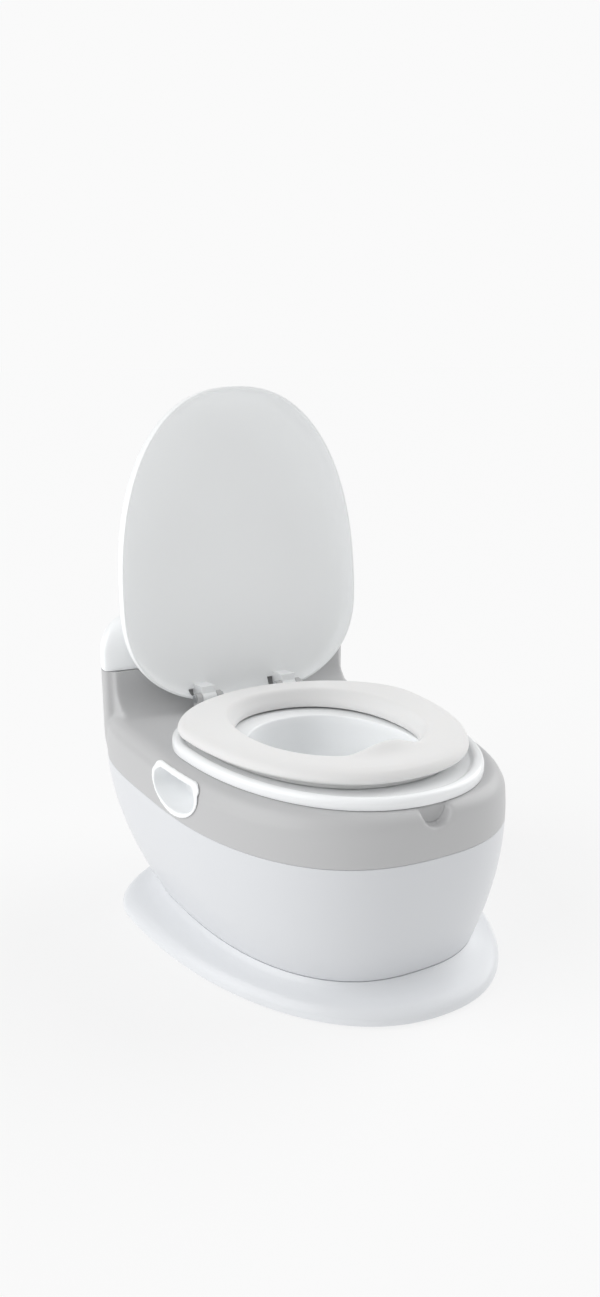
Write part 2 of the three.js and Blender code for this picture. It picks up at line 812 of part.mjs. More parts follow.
function buildBowl() {
  const lipLow = deckHeight + seamGap;
  const flangeTop = rimLipTop - wall;
  const floorPlan = grow(mouthPlan, -bowlFloorInset - bowlWall * 3);
  const top = [
    ring(rimPlan, lipLow),
    ring(rimPlan, flangeTop),
    ring(grow(rimPlan, -rimLipWidth * 0.18), rimLipTop - bowlWall / 3),
    ring(grow(rimPlan, -rimLipWidth * 0.45), rimLipTop),
    ring(grow(rimPlan, -rimLipWidth * 0.75), rimLipTop - bowlWall / 3),
    ring(grow(rimPlan, -rimLipWidth), flangeTop),
    ring(grow(mouthPlan, rimLipWidth), flangeTop - bowlWall / 2),
    ring(grow(mouthPlan, bowlWall), flangeTop - bowlWall),
  ];
  const under = [
    ring(grow(rimPlan, -bowlWall), lipLow),
    ring(grow(rimPlan, -bowlWall), flangeTop - bowlWall),
    ring(grow(mouthPlan, rimLipWidth + bowlWall), flangeTop - bowlWall * 1.5),
    ring(grow(mouthPlan, bowlWall * 2), flangeTop - bowlWall * 2),
  ];
  const outer = loft([
    ring(grow(floorPlan, bowlWall), bowlFloorHeight - bowlWall * 2),
    ...bowlSide(bowlWall, bowlWall).reverse(),
    ...under.slice().reverse(),
    ...top,
  ]);
  const hollow = loft([
    ring(floorPlan, bowlFloorHeight - bowlWall),
    ...bowlSide(0, 0).reverse(),
    ring(grow(mouthPlan, bowlWall), flangeTop - bowlWall),
    ring(grow(mouthPlan, bowlWall), rimLipTop + overrun),
  ]);
  return outer.subtract(hollow);
}

// Seat ring: a moulded cushion with a splash guard, on a rigid frame
function guardLift(turn, full) {
  const wrapped = Math.abs(turn > Math.PI ? turn - 2 * Math.PI : turn);
  if (wrapped >= guardHalfAngle) {
    return 0;
  }
  return full * Math.cos((wrapped / guardHalfAngle) * (Math.PI / 2)) ** 2;
}

function between(inner, outer, share) {
  return planOutline(
    THREE.MathUtils.lerp(inner.halfWidth, outer.halfWidth, share),
    THREE.MathUtils.lerp(inner.frontY, outer.frontY, share),
    THREE.MathUtils.lerp(inner.rearY, outer.rearY, share),
    THREE.MathUtils.lerp(inner.widestY, outer.widestY, share),
    THREE.MathUtils.lerp(inner.frontPower, outer.frontPower, share),
    THREE.MathUtils.lerp(inner.rearPower, outer.rearPower, share),
  );
}

const seatPadBottom = rimLipTop + seamGap * 2 + seatFramePlate + seamGap;

function buildSeatCushion() {
  const pad = seatTop - seatPadBottom;
  const crown = (share) => (x, y, turn) => seatTop + guardLift(turn, guardHeight * share);
  const flared = grow(seatHolePlan, seatHoleFlare);
  const section = [
    ring(grow(seatPlan, -pad / 4), seatPadBottom),
    ring(seatPlan, seatPadBottom + pad / 4),
    ring(grow(seatPlan, -pad / 10), seatPadBottom + pad / 2),
    ring(grow(seatPlan, -pad / 3), seatTop - pad / 4),
    ring(grow(seatPlan, -pad * 0.8), seatTop - pad / 14),
    ring(between(flared, seatPlan, 0.55), crown(0)),
    ring(between(flared, seatPlan, 0.2), crown(0.35)),
    ring(grow(flared, pad / 6), crown(1)),
    ring(flared, (x, y, turn) => seatTop - pad / 4 + guardLift(turn, guardHeight)),
    ring(seatHolePlan, seatPadBottom),
    ring(seatHolePlan, seatSkirtBottom + seatSkirt / 4),
    ring(grow(seatHolePlan, seatSkirt / 2), seatSkirtBottom),
    ring(grow(seatHolePlan, seatSkirt), seatSkirtBottom + seatSkirt / 4),
    ring(grow(seatHolePlan, seatSkirt), seatPadBottom),
  ];
  return toSolid(skin(section, false));
}

function buildSeatFrame() {
  const low = rimLipTop + seamGap * 2;
  const high = low + seatFramePlate;
  const outerPlan = grow(seatPlan, -seatFrameInset);
  const innerPlan = grow(seatHolePlan, seatSkirt + seamGap);
  const collarPlan = grow(innerPlan, seatFramePlate);
  const collarLow = seatSkirtBottom + seatSkirt / 4;
  const footLow = rimLipTop - wall + seamGap;
  const footPlan = grow(outerPlan, -seatFootWidth);
  const section = [
    ring(footPlan, low),
    ring(footPlan, footLow),
    ring(outerPlan, footLow),
    ring(outerPlan, high),
    ring(innerPlan, high),
    ring(innerPlan, collarLow),
    ring(collarPlan, collarLow),
    ring(collarPlan, low),
  ];
  return toSolid(skin(section, false));
}

// Lid, closed about its axis: the plan's -Y is away from the hinge
function lidEdgeHeight(turn) {
  const rearShare = (1 - Math.cos(turn)) / 2;
  return THREE.MathUtils.lerp(-lidSideDrop, lidRearRise, rearShare ** 4);
}

function lidCrownHeight(y) {
  const share = THREE.MathUtils.smoothstep(-y, lidWidestReach, (lidWidestReach + lidTipReach) / 2);
  return THREE.MathUtils.lerp(lidHingeCrown, lidCrown, share);
}

function lidRing(shrinkShare, lift, inset) {
  const edge = grow(lidPlan, -inset);
  const hubY = (lidPlan.widestY + (lidPlan.frontY + lidPlan.rearY) / 2) / 2;
  const riseShare = (1 - (1 - shrinkShare) ** lidDomePower) ** (1 / lidDomePower);
  const points = [];
  for (let index = 0; index < ringSides; index += 1) {
    const turn = turnOf(index);
    const rim = planPoint(edge, turn);
    const x = rim.x * (1 - shrinkShare);
    const y = THREE.MathUtils.lerp(rim.y, hubY, shrinkShare);
    const height = THREE.MathUtils.lerp(lidEdgeHeight(turn), lidCrownHeight(y), riseShare);
    points.push(new THREE.Vector3(x, y, height + lift * riseShare));
  }
  return points;
}

// The solid root between the lid's skin and its knuckle
function lidRoot(x) {
  const half = knuckleWidth / 2;
  return block(
    new THREE.Vector3(x - half, -armReach, -barrelRadius / 2),
    new THREE.Vector3(x + half, -lidRearReach, lidCrown),
  );
}

function lidBarrel(x) {
  return crossBar(barrelRadius, knuckleWidth, x, 0, 0);
}

// Room in the lid's rear edge for the ears at one hinge
function earRoom(x) {
  const half = knuckleWidth / 2 + earWidth + 2 * earGap + pinHeadWidth + 2 * pinClearance;
  return block(
    new THREE.Vector3(x - half, -earNotch, -lidCrown),
    new THREE.Vector3(x + half, lidCrown, 2 * lidCrown),
  );
}

function buildLid() {
  const shrinkShares = [0, 0.02, 0.07, 0.16, 0.3, 0.5, 0.75];
  const outerRings = shrinkShares.map((share) => lidRing(share, lidWall, 0));
  const innerRings = shrinkShares.map((share) => lidRing(share, 0, lidWall));
  const shell = loft([...innerRings.slice().reverse(), ...outerRings]);
  const dome = loft([lidRing(0, 0, 0).map((point) => point.clone().setZ(-lidCrown)), ...outerRings]);
  const places = [-1, 1].map((side) => side * hingeHalfSpacing);
  const roots = joined(places.map(lidRoot)).intersect(dome);
  const barrels = joined(places.map(lidBarrel));
  const bores = joined(places.map((x) => (
    crossBar(pinRadius + pinClearance, knuckleWidth + 2 * overrun, x, 0, 0))));
  return shell.subtract(joined(places.map(earRoom))).add(roots).add(barrels).subtract(bores);
}

function buildHingePin(side) {
  const half = knuckleWidth / 2 + earGap + earWidth + pinClearance;
  const x = side * hingeHalfSpacing;
  const shank = crossBar(pinRadius, 2 * half, x, hingeY, hingeHeight);
  const headAt = (end) => crossBar(
    pinHeadRadius, pinHeadWidth, x + end * (half + pinHeadWidth / 2 - seamGap / 3),
    hingeY, hingeHeight);
  return joined([shank, headAt(-1), headAt(1)]);
}

// Finishes
const finishes = {
  white: { color: 0xe9ecef, roughness: 0.42, metalness: 0 },
  grey: { color: 0xd3d5d8, roughness: 0.5, metalness: 0 },
  lidWhite: { color: 0xe2e5e6, roughness: 0.42, metalness: 0 },
  soft: { color: 0xe8e8e7, roughness: 0.62, metalness: 0 },
  under: { color: 0xcfd1d2, roughness: 0.6, metalness: 0 },
  rubber: { color: 0x9a9c9e, roughness: 0.85, metalness: 0 },
  steel: { color: 0xb9bcc0, roughness: 0.35, metalness: 1 },
};

function piece(name, solid, finish) {
  const material = new THREE.MeshStandardMaterial(finishes[finish]);
  const mesh = new THREE.Mesh(toGeometry(solid), material);
  mesh.name = name;
  return mesh;
}

// Assembly
const chair = new THREE.Group();

chair.add(piece('base_flange', buildBaseFlange(), 'white'));
chair.add(piece('lower_shell', buildLowerShell(), 'white'));
chair.add(piece('upper_body', buildUpperBody(), 'grey'));
chair.add(piece('tank_cap', buildTankCap(), 'white'));
chair.add(piece('recess_cup_left', buildRecess(1), 'white'));
chair.add(piece('recess_cup_right', buildRecess(-1), 'white'));
chair.add(piece('bowl', buildBowl(), 'white'));
chair.add(piece('seat_frame', buildSeatFrame(), 'under'));
chair.add(piece('seat_cushion', buildSeatCushion(), 'soft'));
chair.add(piece('hinge_pin_left', buildHingePin(1), 'steel'));
chair.add(piece('hinge_pin_right', buildHingePin(-1), 'steel'));

const lidGroup = new THREE.Group();
lidGroup.position.set(0, hingeY, hingeHeight);
lidGroup.rotation.x = -THREE.MathUtils.degToRad(90 + lidLeanDegrees);
lidGroup.add(piece('lid', buildLid(), 'lidWhite'));
chair.add(lidGroup);

footPlaces().forEach(({ x, y }, index) => {
  const foot = piece(`foot_${index + 1}`, buildFoot(), 'rubber');
  foot.position.set(x, y, 0);
  chair.add(foot);
});

baseScrewPlaces().forEach(({ x, y }, index) => {
  const screw = piece(`base_screw_${index + 1}`, buildScrew(), 'steel');
  screw.position.set(x, y, plinthTop - seamGap - wall - seamGap - screwHeadHeight);
  chair.add(screw);
});

lugPlaces().forEach(({ x, y }, index) => {
  const screw = piece(`body_screw_${index + 1}`, buildScrew(), 'steel');
  screw.position.set(x, y, seamHeight - seamGap / 2 - lugHeight - seamGap - screwHeadHeight);
  chair.add(screw);
});

// The origin is on the floor at the middle of the footprint.
const footprint = new THREE.Box3().setFromObject(chair);
chair.position.y = -(footprint.min.y + footprint.max.y) / 2;

export default chair;
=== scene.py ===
"""Potty training chair, dressed for its picture.

Every piece stands in the chair's own frame: metres, +Z up, the sitter faces -Y,
and the origin is on the floor at the middle of the footprint.
"""

import json
import logging
import math
from dataclasses import astuple, dataclass
from enum import Enum
from functools import cache
from typing import Callable, Sequence

import bmesh
import bpy
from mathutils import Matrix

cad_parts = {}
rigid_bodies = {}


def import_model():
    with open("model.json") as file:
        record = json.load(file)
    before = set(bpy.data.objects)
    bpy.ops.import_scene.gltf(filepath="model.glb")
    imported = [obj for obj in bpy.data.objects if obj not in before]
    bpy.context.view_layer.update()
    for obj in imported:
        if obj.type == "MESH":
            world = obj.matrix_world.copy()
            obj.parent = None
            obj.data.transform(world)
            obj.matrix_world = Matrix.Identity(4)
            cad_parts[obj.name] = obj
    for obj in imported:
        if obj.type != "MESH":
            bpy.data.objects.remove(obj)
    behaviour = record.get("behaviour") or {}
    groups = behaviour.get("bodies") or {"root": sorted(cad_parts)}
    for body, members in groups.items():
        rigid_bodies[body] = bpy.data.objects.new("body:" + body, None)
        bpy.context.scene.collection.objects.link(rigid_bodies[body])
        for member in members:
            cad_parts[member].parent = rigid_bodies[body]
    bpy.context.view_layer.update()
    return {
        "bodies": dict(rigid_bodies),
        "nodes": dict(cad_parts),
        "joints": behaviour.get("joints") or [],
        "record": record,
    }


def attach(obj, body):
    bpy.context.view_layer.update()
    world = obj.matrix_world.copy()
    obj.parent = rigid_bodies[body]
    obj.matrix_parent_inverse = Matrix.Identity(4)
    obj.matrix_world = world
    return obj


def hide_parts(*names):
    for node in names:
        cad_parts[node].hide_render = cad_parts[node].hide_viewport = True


LOG = logging.getLogger("chair")
ORIGIN_Y = 0.01308039
ROUND_SIDES = 128
FINE_SIDES = 160

Piece = bpy.types.Object
Material = bpy.types.Material
Point = tuple[float, float]
Path = list[Point]
Level = float | Callable[[float, float, float], float]
Steps = Sequence[tuple[float, Level]]
Colour = tuple[float, float, float]


class Body(Enum):
    """The chair's moving bodies."""

    CHAIR = "chair"
    LID = "lid_body"
    BOWL = "bowl_body"
    SEAT = "seat_body"
    CAP = "cap_body"


class Cut(Enum):
    """How one solid works on another."""

    JOIN = "UNION"
    REMOVE = "DIFFERENCE"
    KEEP = "INTERSECT"


def lerp(low: float, high: float, share: float) -> float:
    """Returns the value at a share of the way from low to high."""
    return low + (high - low) * share


def bend(share: float, *pulls: Point) -> Point:
    """Returns a point of the curve from the first point to the last that the others pull."""
    points = list(pulls)
    while len(points) > 1:
        points = [
            tuple(lerp(a, b, share) for a, b in zip(p, q)) for p, q in zip(points, points[1:])]
    return points[0]


def quarter_turn(steps: int) -> Path:
    """Returns the (sine, cosine) of even steps from none to a quarter turn."""
    angles = [math.pi / 2 * step / steps for step in range(steps + 1)]
    return [(math.sin(angle), math.cos(angle)) for angle in angles]


@dataclass(frozen=True)
class Plan:
    """An egg-shaped outline seen from above, with its own squareness front and rear."""

    half_width: float
    front_y: float
    rear_y: float
    widest_y: float
    front_power: float
    rear_power: float

    def point(self, turn: float) -> Point:
        """Finds a point of the outline.

        Args:
            turn: angle from the front towards +X, in radians.

        Returns:
            The point's x and y.
        """
        along, across = math.cos(turn), math.sin(turn)
        ahead = along > 0
        power = self.front_power if ahead else self.rear_power
        reach = self.widest_y - self.front_y if ahead else self.rear_y - self.widest_y
        x = self.half_width * math.copysign(abs(across) ** (2 / power), across)
        y = self.widest_y - reach * math.copysign(abs(along) ** (2 / power), along)
        return x, y

    def grown(self, distance: float) -> "Plan":
        """Returns the outline moved outward by a distance on all sides."""
        return Plan(
            self.half_width + distance, self.front_y - distance, self.rear_y + distance,
            self.widest_y, self.front_power, self.rear_power)

    def toward(self, other: "Plan", share: float) -> "Plan":
        """Returns the outline at a share of the way to another one."""
        return Plan(*(lerp(a, b, share) for a, b in zip(astuple(self), astuple(other))))


Stations = list[tuple[Plan, Level]]


@dataclass(frozen=True)
class ShellForm:
    """The tapered body's outline at any height, through three stations."""

    heights: tuple[float, float, float] = (0.024, 0.100, 0.166)
    half_widths: tuple[float, float, float] = (0.116, 0.138, 0.133)
    fronts: tuple[float, float, float] = (-0.185, -0.201, -0.203)
    rears: tuple[float, float, float] = (0.132, 0.181, 0.1908)
    rear_powers: tuple[float, float, float] = (2.7, 3.6, 3.9)
    widest_y: float = 0.010
    front_power: float = 2.5

    def through(self, height: float, values: tuple[float, float, float]) -> float:
        """Returns the smooth curve through the three stations at a height."""
        low, mid, top = self.heights
        low_share = (height - mid) * (height - top) / ((low - mid) * (low - top))
        mid_share = (height - low) * (height - top) / ((mid - low) * (mid - top))
        top_share = (height - low) * (height - mid) / ((top - low) * (top - mid))
        return values[0] * low_share + values[1] * mid_share + values[2] * top_share

    def plan(self, height: float, growth: float = 0.0) -> Plan:
        """Returns the body's outline at a height, grown by a distance."""
        half, front, rear, power = (self.through(height, values) for values in (
            self.half_widths, self.fronts, self.rears, self.rear_powers))
        return Plan(half, front, rear, self.widest_y, self.front_power, power).grown(growth)

    def wrap(self, steps: Path) -> Stations:
        """Returns the body's outline for each (inset, height) step."""
        return [(self.plan(height, -inset), height) for inset, height in steps]

    def flank(self, foot: Sequence[float], growth: float, steps: int) -> Stations:
        """Finds the way up the flank and over its rounded shoulder.

        Args:
            foot: the heights below the seam.
            growth: how far the body is grown.
            steps: how many stations the shoulder has.

        Returns:
            The (outline, height) stations.
        """
        low = DECK_HEIGHT - SHOULDER
        heights = (*foot, SEAM_HEIGHT, 0.134, 0.141, 0.148, low)
        return self.wrap([(-growth, height) for height in heights]) + [
            (self.plan(DECK_HEIGHT, growth - SHOULDER * (1 - cosine)),
             low + SHOULDER * sine + growth)
            for sine, cosine in quarter_turn(steps)[1:]]


SHELL = ShellForm()
TANK_PLAN = Plan(0.127, 0.127, 0.190, 0.137, 3.0, 2.3)
RIM_PLAN = Plan(0.119, -0.194, 0.090, -0.010, 2.2, 1.9)
MOUTH_PLAN = Plan(0.068, -0.150, 0.026, -0.070, 2.25, 2.25)
SEAT_PLAN = Plan(0.114, -0.174, 0.079, -0.008, 2.2, 1.9)
SEAT_HOLE_PLAN = Plan(0.071, -0.129, 0.045, -0.045, 2.2, 2.2)
DECK_HEIGHT = 0.166
SHOULDER = 0.011
SEAM_HEIGHT = 0.127
SEAM_GAP = 0.0003
TANK_HEIGHT = 0.205
RIM_TOP = 0.1752
HINGE_Y = 0.097 + ORIGIN_Y
HINGE_Z = 0.1785
HINGE_X = 0.042
PIN_BORE = 0.0026
HUB_INSET = 0.09


def deselect_all() -> None:
    """Leaves nothing selected, in object mode."""
    if bpy.context.object and bpy.context.object.mode != "OBJECT":
        bpy.ops.object.mode_set(mode="OBJECT")
    bpy.ops.object.select_all(action="DESELECT")


def bake_place() -> None:
    """Puts the active piece's place, turn and scale into its mesh."""
    bpy.ops.object.transform_apply(location=True, rotation=True, scale=True)


def face_outward() -> None:
    """Turns all faces of the edited piece outward and leaves edit mode."""
    bpy.ops.mesh.select_all(action="SELECT")
    bpy.ops.mesh.normals_make_consistent(inside=False)
    bpy.ops.object.mode_set(mode="OBJECT")


def take(piece: Piece) -> None:
    """Selects one piece and makes it the active one."""
    deselect_all()
    piece.select_set(True)
    bpy.context.view_layer.objects.active = piece


def apply_modifier(piece: Piece, kind: str, **settings: object) -> None:
    """Adds a modifier and applies it.

    Args:
        piece: the piece that takes it.
        kind: the modifier's type.
        settings: its values by name.
    """
    take(piece)
    modifier = piece.modifiers.new(kind.title(), kind)
    for name, value in settings.items():
        setattr(modifier, name, value)
    bpy.ops.object.modifier_apply(modifier=modifier.name)


def work(piece: Piece, tool: Piece, cut: Cut) -> None:
    """Joins a tool to a piece, or cuts with it, and takes the tool away."""
    apply_modifier(piece, "BOOLEAN", operation=cut.value, object=tool, solver="EXACT")
    bpy.data.objects.remove(tool)


def melt(piece: Piece, grid: float) -> None:
    """Rebuilds a piece on an even grid and smooths it."""
    apply_modifier(piece, "REMESH", mode="VOXEL", voxel_size=grid)
    apply_modifier(piece, "SMOOTH", factor=0.5, iterations=10)


def cut_flat(piece: Piece, height: float, keep_above: bool) -> None:
    """Cuts a piece open at a height and leaves the side that is kept."""
    take(piece)
    bpy.ops.object.mode_set(mode="EDIT")
    bpy.ops.mesh.select_all(action="SELECT")
    bpy.ops.mesh.bisect(
        plane_co=(0, 0, height), plane_no=(0, 0, 1), use_fill=False,
        clear_inner=keep_above, clear_outer=not keep_above)
    bpy.ops.object.mode_set(mode="OBJECT")


def round_edges(piece: Piece, width: float, segments: int, angle: float) -> None:
    """Bevels the edges that are sharper than an angle in degrees."""
    apply_modifier(piece, "BEVEL", width=width, segments=segments, limit_method="ANGLE",
                   angle_limit=math.radians(angle))


def settle(piece: Piece, angle: float = 35.0) -> None:
    """Puts a piece's place into its mesh and shades it smooth up to an angle in degrees."""
    take(piece)
    bake_place()
    bpy.ops.object.shade_smooth_by_angle(angle=math.radians(angle))


def merge(pieces: Sequence[Piece], name: str) -> Piece:
    """Makes several meshes one object.

    Args:
        pieces: the meshes; the first one takes the rest.
        name: the object's name.

    Returns:
        The one object.
    """
    take(pieces[0])
    for other in pieces[1:]:
        other.select_set(True)
    bpy.ops.object.join()
    joined = bpy.context.object
    joined.name = name
    return joined


def bar(radius: float, length: float, place: Sequence[float], axis: str,
        sides: int = 48) -> Piece:
    """Adds a round bar.

    Args:
        radius: its radius.
        length: its length.
        place: its middle.
        axis: X, Y or Z, the way it points.
        sides: how many sides it has.

    Returns:
        The bar.
    """
    turns = {"X": (0, math.pi / 2, 0), "Y": (math.pi / 2, 0, 0), "Z": (0, 0, 0)}
    deselect_all()
    bpy.ops.mesh.primitive_cylinder_add(
        vertices=sides, radius=radius, depth=length, location=place, rotation=turns[axis])
    bake_place()
    return bpy.context.object


def block(low: Sequence[float], high: Sequence[float]) -> Piece:
    """Adds a box between two corners and returns it."""
    deselect_all()
    middle = [(a + b) / 2 for a, b in zip(low, high)]
    bpy.ops.mesh.primitive_cube_add(size=1.0, location=middle)
    bpy.context.object.scale = [b - a for a, b in zip(low, high)]
    bake_place()
    return bpy.context.object


def prism(outline: Sequence[Point], near_x: float, far_x: float) -> Piece:
    """Pulls an outline in the Y-Z plane along X.

    Args:
        outline: its (y, z) points in order.
        near_x: where it starts.
        far_x: where it ends.

    Returns:
        The prism.
    """
    deselect_all()
    bpy.ops.mesh.primitive_circle_add(vertices=len(outline), radius=1.0, fill_type="NGON")
    made = bpy.context.object
    for vert, (y, z) in zip(made.data.vertices, outline):
        vert.co = (near_x, y + ORIGIN_Y, z)
    bpy.ops.object.mode_set(mode="EDIT")
    bpy.ops.mesh.select_all(action="SELECT")
    bpy.ops.mesh.extrude_region_move(TRANSFORM_OT_translate={"value": (far_x - near_x, 0, 0)})
    face_outward()
    return made


class RingBuilder:
    """Shapes one closed piece ring by ring, starting from a circle."""

    def __init__(self, name: str, sides: int = ROUND_SIDES) -> None:
        """Adds the circle and notes each point's turn.

        Args:
            name: the piece's name.
            sides: how many points a ring has.
        """
        deselect_all()
        bpy.ops.mesh.primitive_circle_add(vertices=sides, radius=1.0)
        self.piece = bpy.context.object
        self.piece.name = name
        self.started = False
        bpy.ops.object.mode_set(mode="EDIT")
        mesh = bmesh.from_edit_mesh(self.piece.data)
        turns = mesh.verts.layers.float.new("turn")
        for vert in mesh.verts:
            vert[turns] = math.atan2(vert.co.x, -vert.co.y)
        bmesh.update_edit_mesh(self.piece.data)

    def ring(self, plan: Plan, level: Level) -> "RingBuilder":
        """Pulls the last ring on to the next outline.

        Args:
            plan: the outline that the ring takes.
            level: its height, or a function of x, y and turn that gives it.

        Returns:
            This builder.
        """
        if self.started:
            bpy.ops.mesh.extrude_edges_indiv()
        self.started = True
        mesh = bmesh.from_edit_mesh(self.piece.data)
        turns = mesh.verts.layers.float["turn"]
        for vert in mesh.verts:
            if vert.select:
                x, y = plan.point(vert[turns])
                z = level(x, y, vert[turns]) if callable(level) else level
                vert.co = (x, y + ORIGIN_Y, z)
        bmesh.update_edit_mesh(self.piece.data)
        return self

    def rings(self, stations: Stations) -> "RingBuilder":
        """Adds a ring for each (outline, level) station and returns this builder."""
        for plan, level in stations:
            self.ring(plan, level)
        return self

    def outward(self, plan: Plan, steps: Steps) -> "RingBuilder":
        """Adds an outline grown by each (distance, level) step and returns this builder."""
        return self.rings([(plan.grown(distance), level) for distance, level in steps])

    def inward(self, plan: Plan, steps: Steps) -> "RingBuilder":
        """Adds an outline drawn in by each (distance, level) step and returns this builder."""
        return self.outward(plan, [(-distance, level) for distance, level in steps])

    def across(self, start: Plan, end: Plan, steps: Steps) -> "RingBuilder":
        """Adds an outline between two for each (share, level) step and returns this builder."""
        return self.rings([(start.toward(end, share), level) for share, level in steps])

    def close(self, angle: float = 35.0) -> Piece:
        """Closes both ends and turns all faces outward.

        Args:
            angle: the sharpest edge in degrees that is shaded smooth.

        Returns:
            The finished piece.
        """
        bpy.ops.mesh.select_all(action="SELECT")
        bpy.ops.mesh.remove_doubles(threshold=1e-6)
        bpy.ops.mesh.fill_holes(sides=0)
        face_outward()
        settle(self.piece, angle)
        return self.piece


def filleted(corners: Sequence[tuple[float, float, float]]) -> Path:
    """Rounds the corners of an open section.

    Args:
        corners: (across, up, radius) for each corner.

    Returns:
        The section's (across, up) points.
    """
    path: Path = []
    last, steps = len(corners) - 1, 5
    for index, (across, up, radius) in enumerate(corners):
        if index in (0, last) or radius <= 0:
            path.append((across, up))
            continue
        ways = []
        for other in (corners[index - 1], corners[index + 1]):
            run, rise = other[0] - across, other[1] - up
            reach = min(radius / math.hypot(run, rise), 0.48)
            ways.append((across + run * reach, up + rise * reach))
        path += [
            bend(step / steps, ways[0], (across, up), ways[1]) for step in range(steps + 1)]
    return path


def flowing(points: Sequence[Point], steps: int = 6) -> Path:
    """Draws a smooth curve through points.

    Args:
        points: (across, up) points in order.
        steps: pieces between two points.

    Returns:
        The curve's points.
    """
    path = []
    count = len(points)
    for index in range(count - 1):
        a = points[max(index - 1, 0)]
        b, c = points[index], points[index + 1]
        d = points[min(index + 2, count - 1)]
        for step in range(steps):
            t = step / steps
            path.append(tuple(
                0.5 * (2 * q + (r - p) * t + (2 * p - 5 * q + 4 * r - s) * t * t
                       + (3 * q - p - 3 * r + s) * t ** 3)
                for p, q, r, s in zip(a, b, c, d)))
    return path + [tuple(points[-1])]


class Wire:
    """A shader socket that takes part in Python sums."""

    def __init__(self, bench: "ShaderBench", socket: bpy.types.NodeSocket) -> None:
        """Keeps the socket and the bench that it belongs to."""
        self.bench = bench
        self.socket = socket

    def _with(self, operation: str, first: object, second: object) -> "Wire":
        """Returns the result of one Math node."""
        node = self.bench.node("ShaderNodeMath", {"operation": operation}, {0: first, 1: second})
        return Wire(self.bench, node.outputs[0])

    def __add__(self, other: object) -> "Wire":
        """Returns the sum."""
        return self._with("ADD", self, other)

    __radd__ = __add__

    def __sub__(self, other: object) -> "Wire":
        """Returns the difference."""
        return self._with("SUBTRACT", self, other)

    def __rsub__(self, other: object) -> "Wire":
        """Returns the difference from a number."""
        return self._with("SUBTRACT", other, self)

    def __mul__(self, other: object) -> "Wire":
        """Returns the product."""
        return self._with("MULTIPLY", self, other)

    __rmul__ = __mul__


class ShaderBench:
    """One material's node tree, with a Principled shader already in it."""

    def __init__(self, name: str) -> None:
        """Starts the material.

        Args:
            name: the material's name.
        """
        self.material = bpy.data.materials.new(name)
        self.material.use_nodes = True
        self.tree = self.material.node_tree
        self.shader = self.tree.nodes["Principled BSDF"]
        self.place = Wire(self, self.node("ShaderNodeTexCoord", {}, {}).outputs["Object"])

    def node(self, kind: str, settings: dict[str, object],
             inputs: dict[object, object]) -> bpy.types.Node:
        """Adds a node.

        Args:
            kind: the node's type.
            settings: its own settings by name, set first.
            inputs: a value or a Wire for each socket, by name or number.

        Returns:
            The node.
        """
        made = self.tree.nodes.new(kind)
        for name, value in settings.items():
            setattr(made, name, value)
        for key, value in inputs.items():
            if isinstance(value, Wire):
                self.tree.links.new(value.socket, made.inputs[key])
            else:
                made.inputs[key].default_value = value
        return made

    def noise(self, scale: float, detail: float = 2.0) -> Wire:
        """Returns a noise in metres of the piece's own frame, from 0 to 1."""
        made = self.node(
            "ShaderNodeTexNoise", {}, {"Vector": self.place, "Scale": scale, "Detail": detail})
        return Wire(self, made.outputs["Fac"])

    def pebbles(self, scale: float) -> Wire:
        """Returns the distance to the nearest of many scattered points."""
        made = self.node("ShaderNodeTexVoronoi", {}, {"Vector": self.place, "Scale": scale})
        return Wire(self, made.outputs["Distance"])

    def blend(self, colour: Colour, low: float, high: float, share: Wire) -> Wire:
        """Returns a colour between two strengths of one, by a share."""
        first, second = (
            (*(min(level * strength, 1.0) for level in colour), 1.0) for strength in (low, high))
        made = self.node(
            "ShaderNodeMix", {"data_type": "RGBA"}, {0: share, 6: first, 7: second})
        return Wire(self, made.outputs[2])

    def feed(self, **values: object) -> None:
        """Sets shader sockets, with underscores for the spaces in their names."""
        for name, value in values.items():
            socket = self.shader.inputs[name.replace("_", " ")]
            if isinstance(value, Wire):
                self.tree.links.new(value.socket, socket)
            else:
                socket.default_value = value

    def bump(self, height: Wire, strength: float, distance: float) -> None:
        """Raises the surface by a height wire."""
        made = self.node(
            "ShaderNodeBump", {}, {"Strength": strength, "Distance": distance, "Height": height})
        self.tree.links.new(made.outputs[0], self.shader.inputs["Normal"])


@dataclass(frozen=True)
class MouldedPlastic:
    """A moulded plastic with a fine spark-eroded skin."""

    name: str
    colour: Colour
    roughness: float
    coat: float = 0.0
    grain: float = 0.10
    spread: float = 0.012

    def material(self) -> Material:
        """Returns the finish as a material."""
        bench = ShaderBench(self.name)
        cloud = bench.noise(9.0, 3.0)
        skin = bench.noise(2600.0, 1.0) * 0.6 + bench.noise(700.0, 2.0) * 0.4
        bench.feed(
            Base_Color=bench.blend(self.colour, 1 - self.spread, 1 + self.spread, cloud),
            Roughness=self.roughness - 0.04 + cloud * 0.05 + skin * 0.04,
            Coat_Weight=self.coat, Coat_Roughness=0.18, IOR=1.46,
            Subsurface_Weight=0.04, Subsurface_Radius=(0.004, 0.004, 0.004),
            Subsurface_Scale=0.5)
        bench.bump(skin, self.grain, 0.0002)
        return bench.material


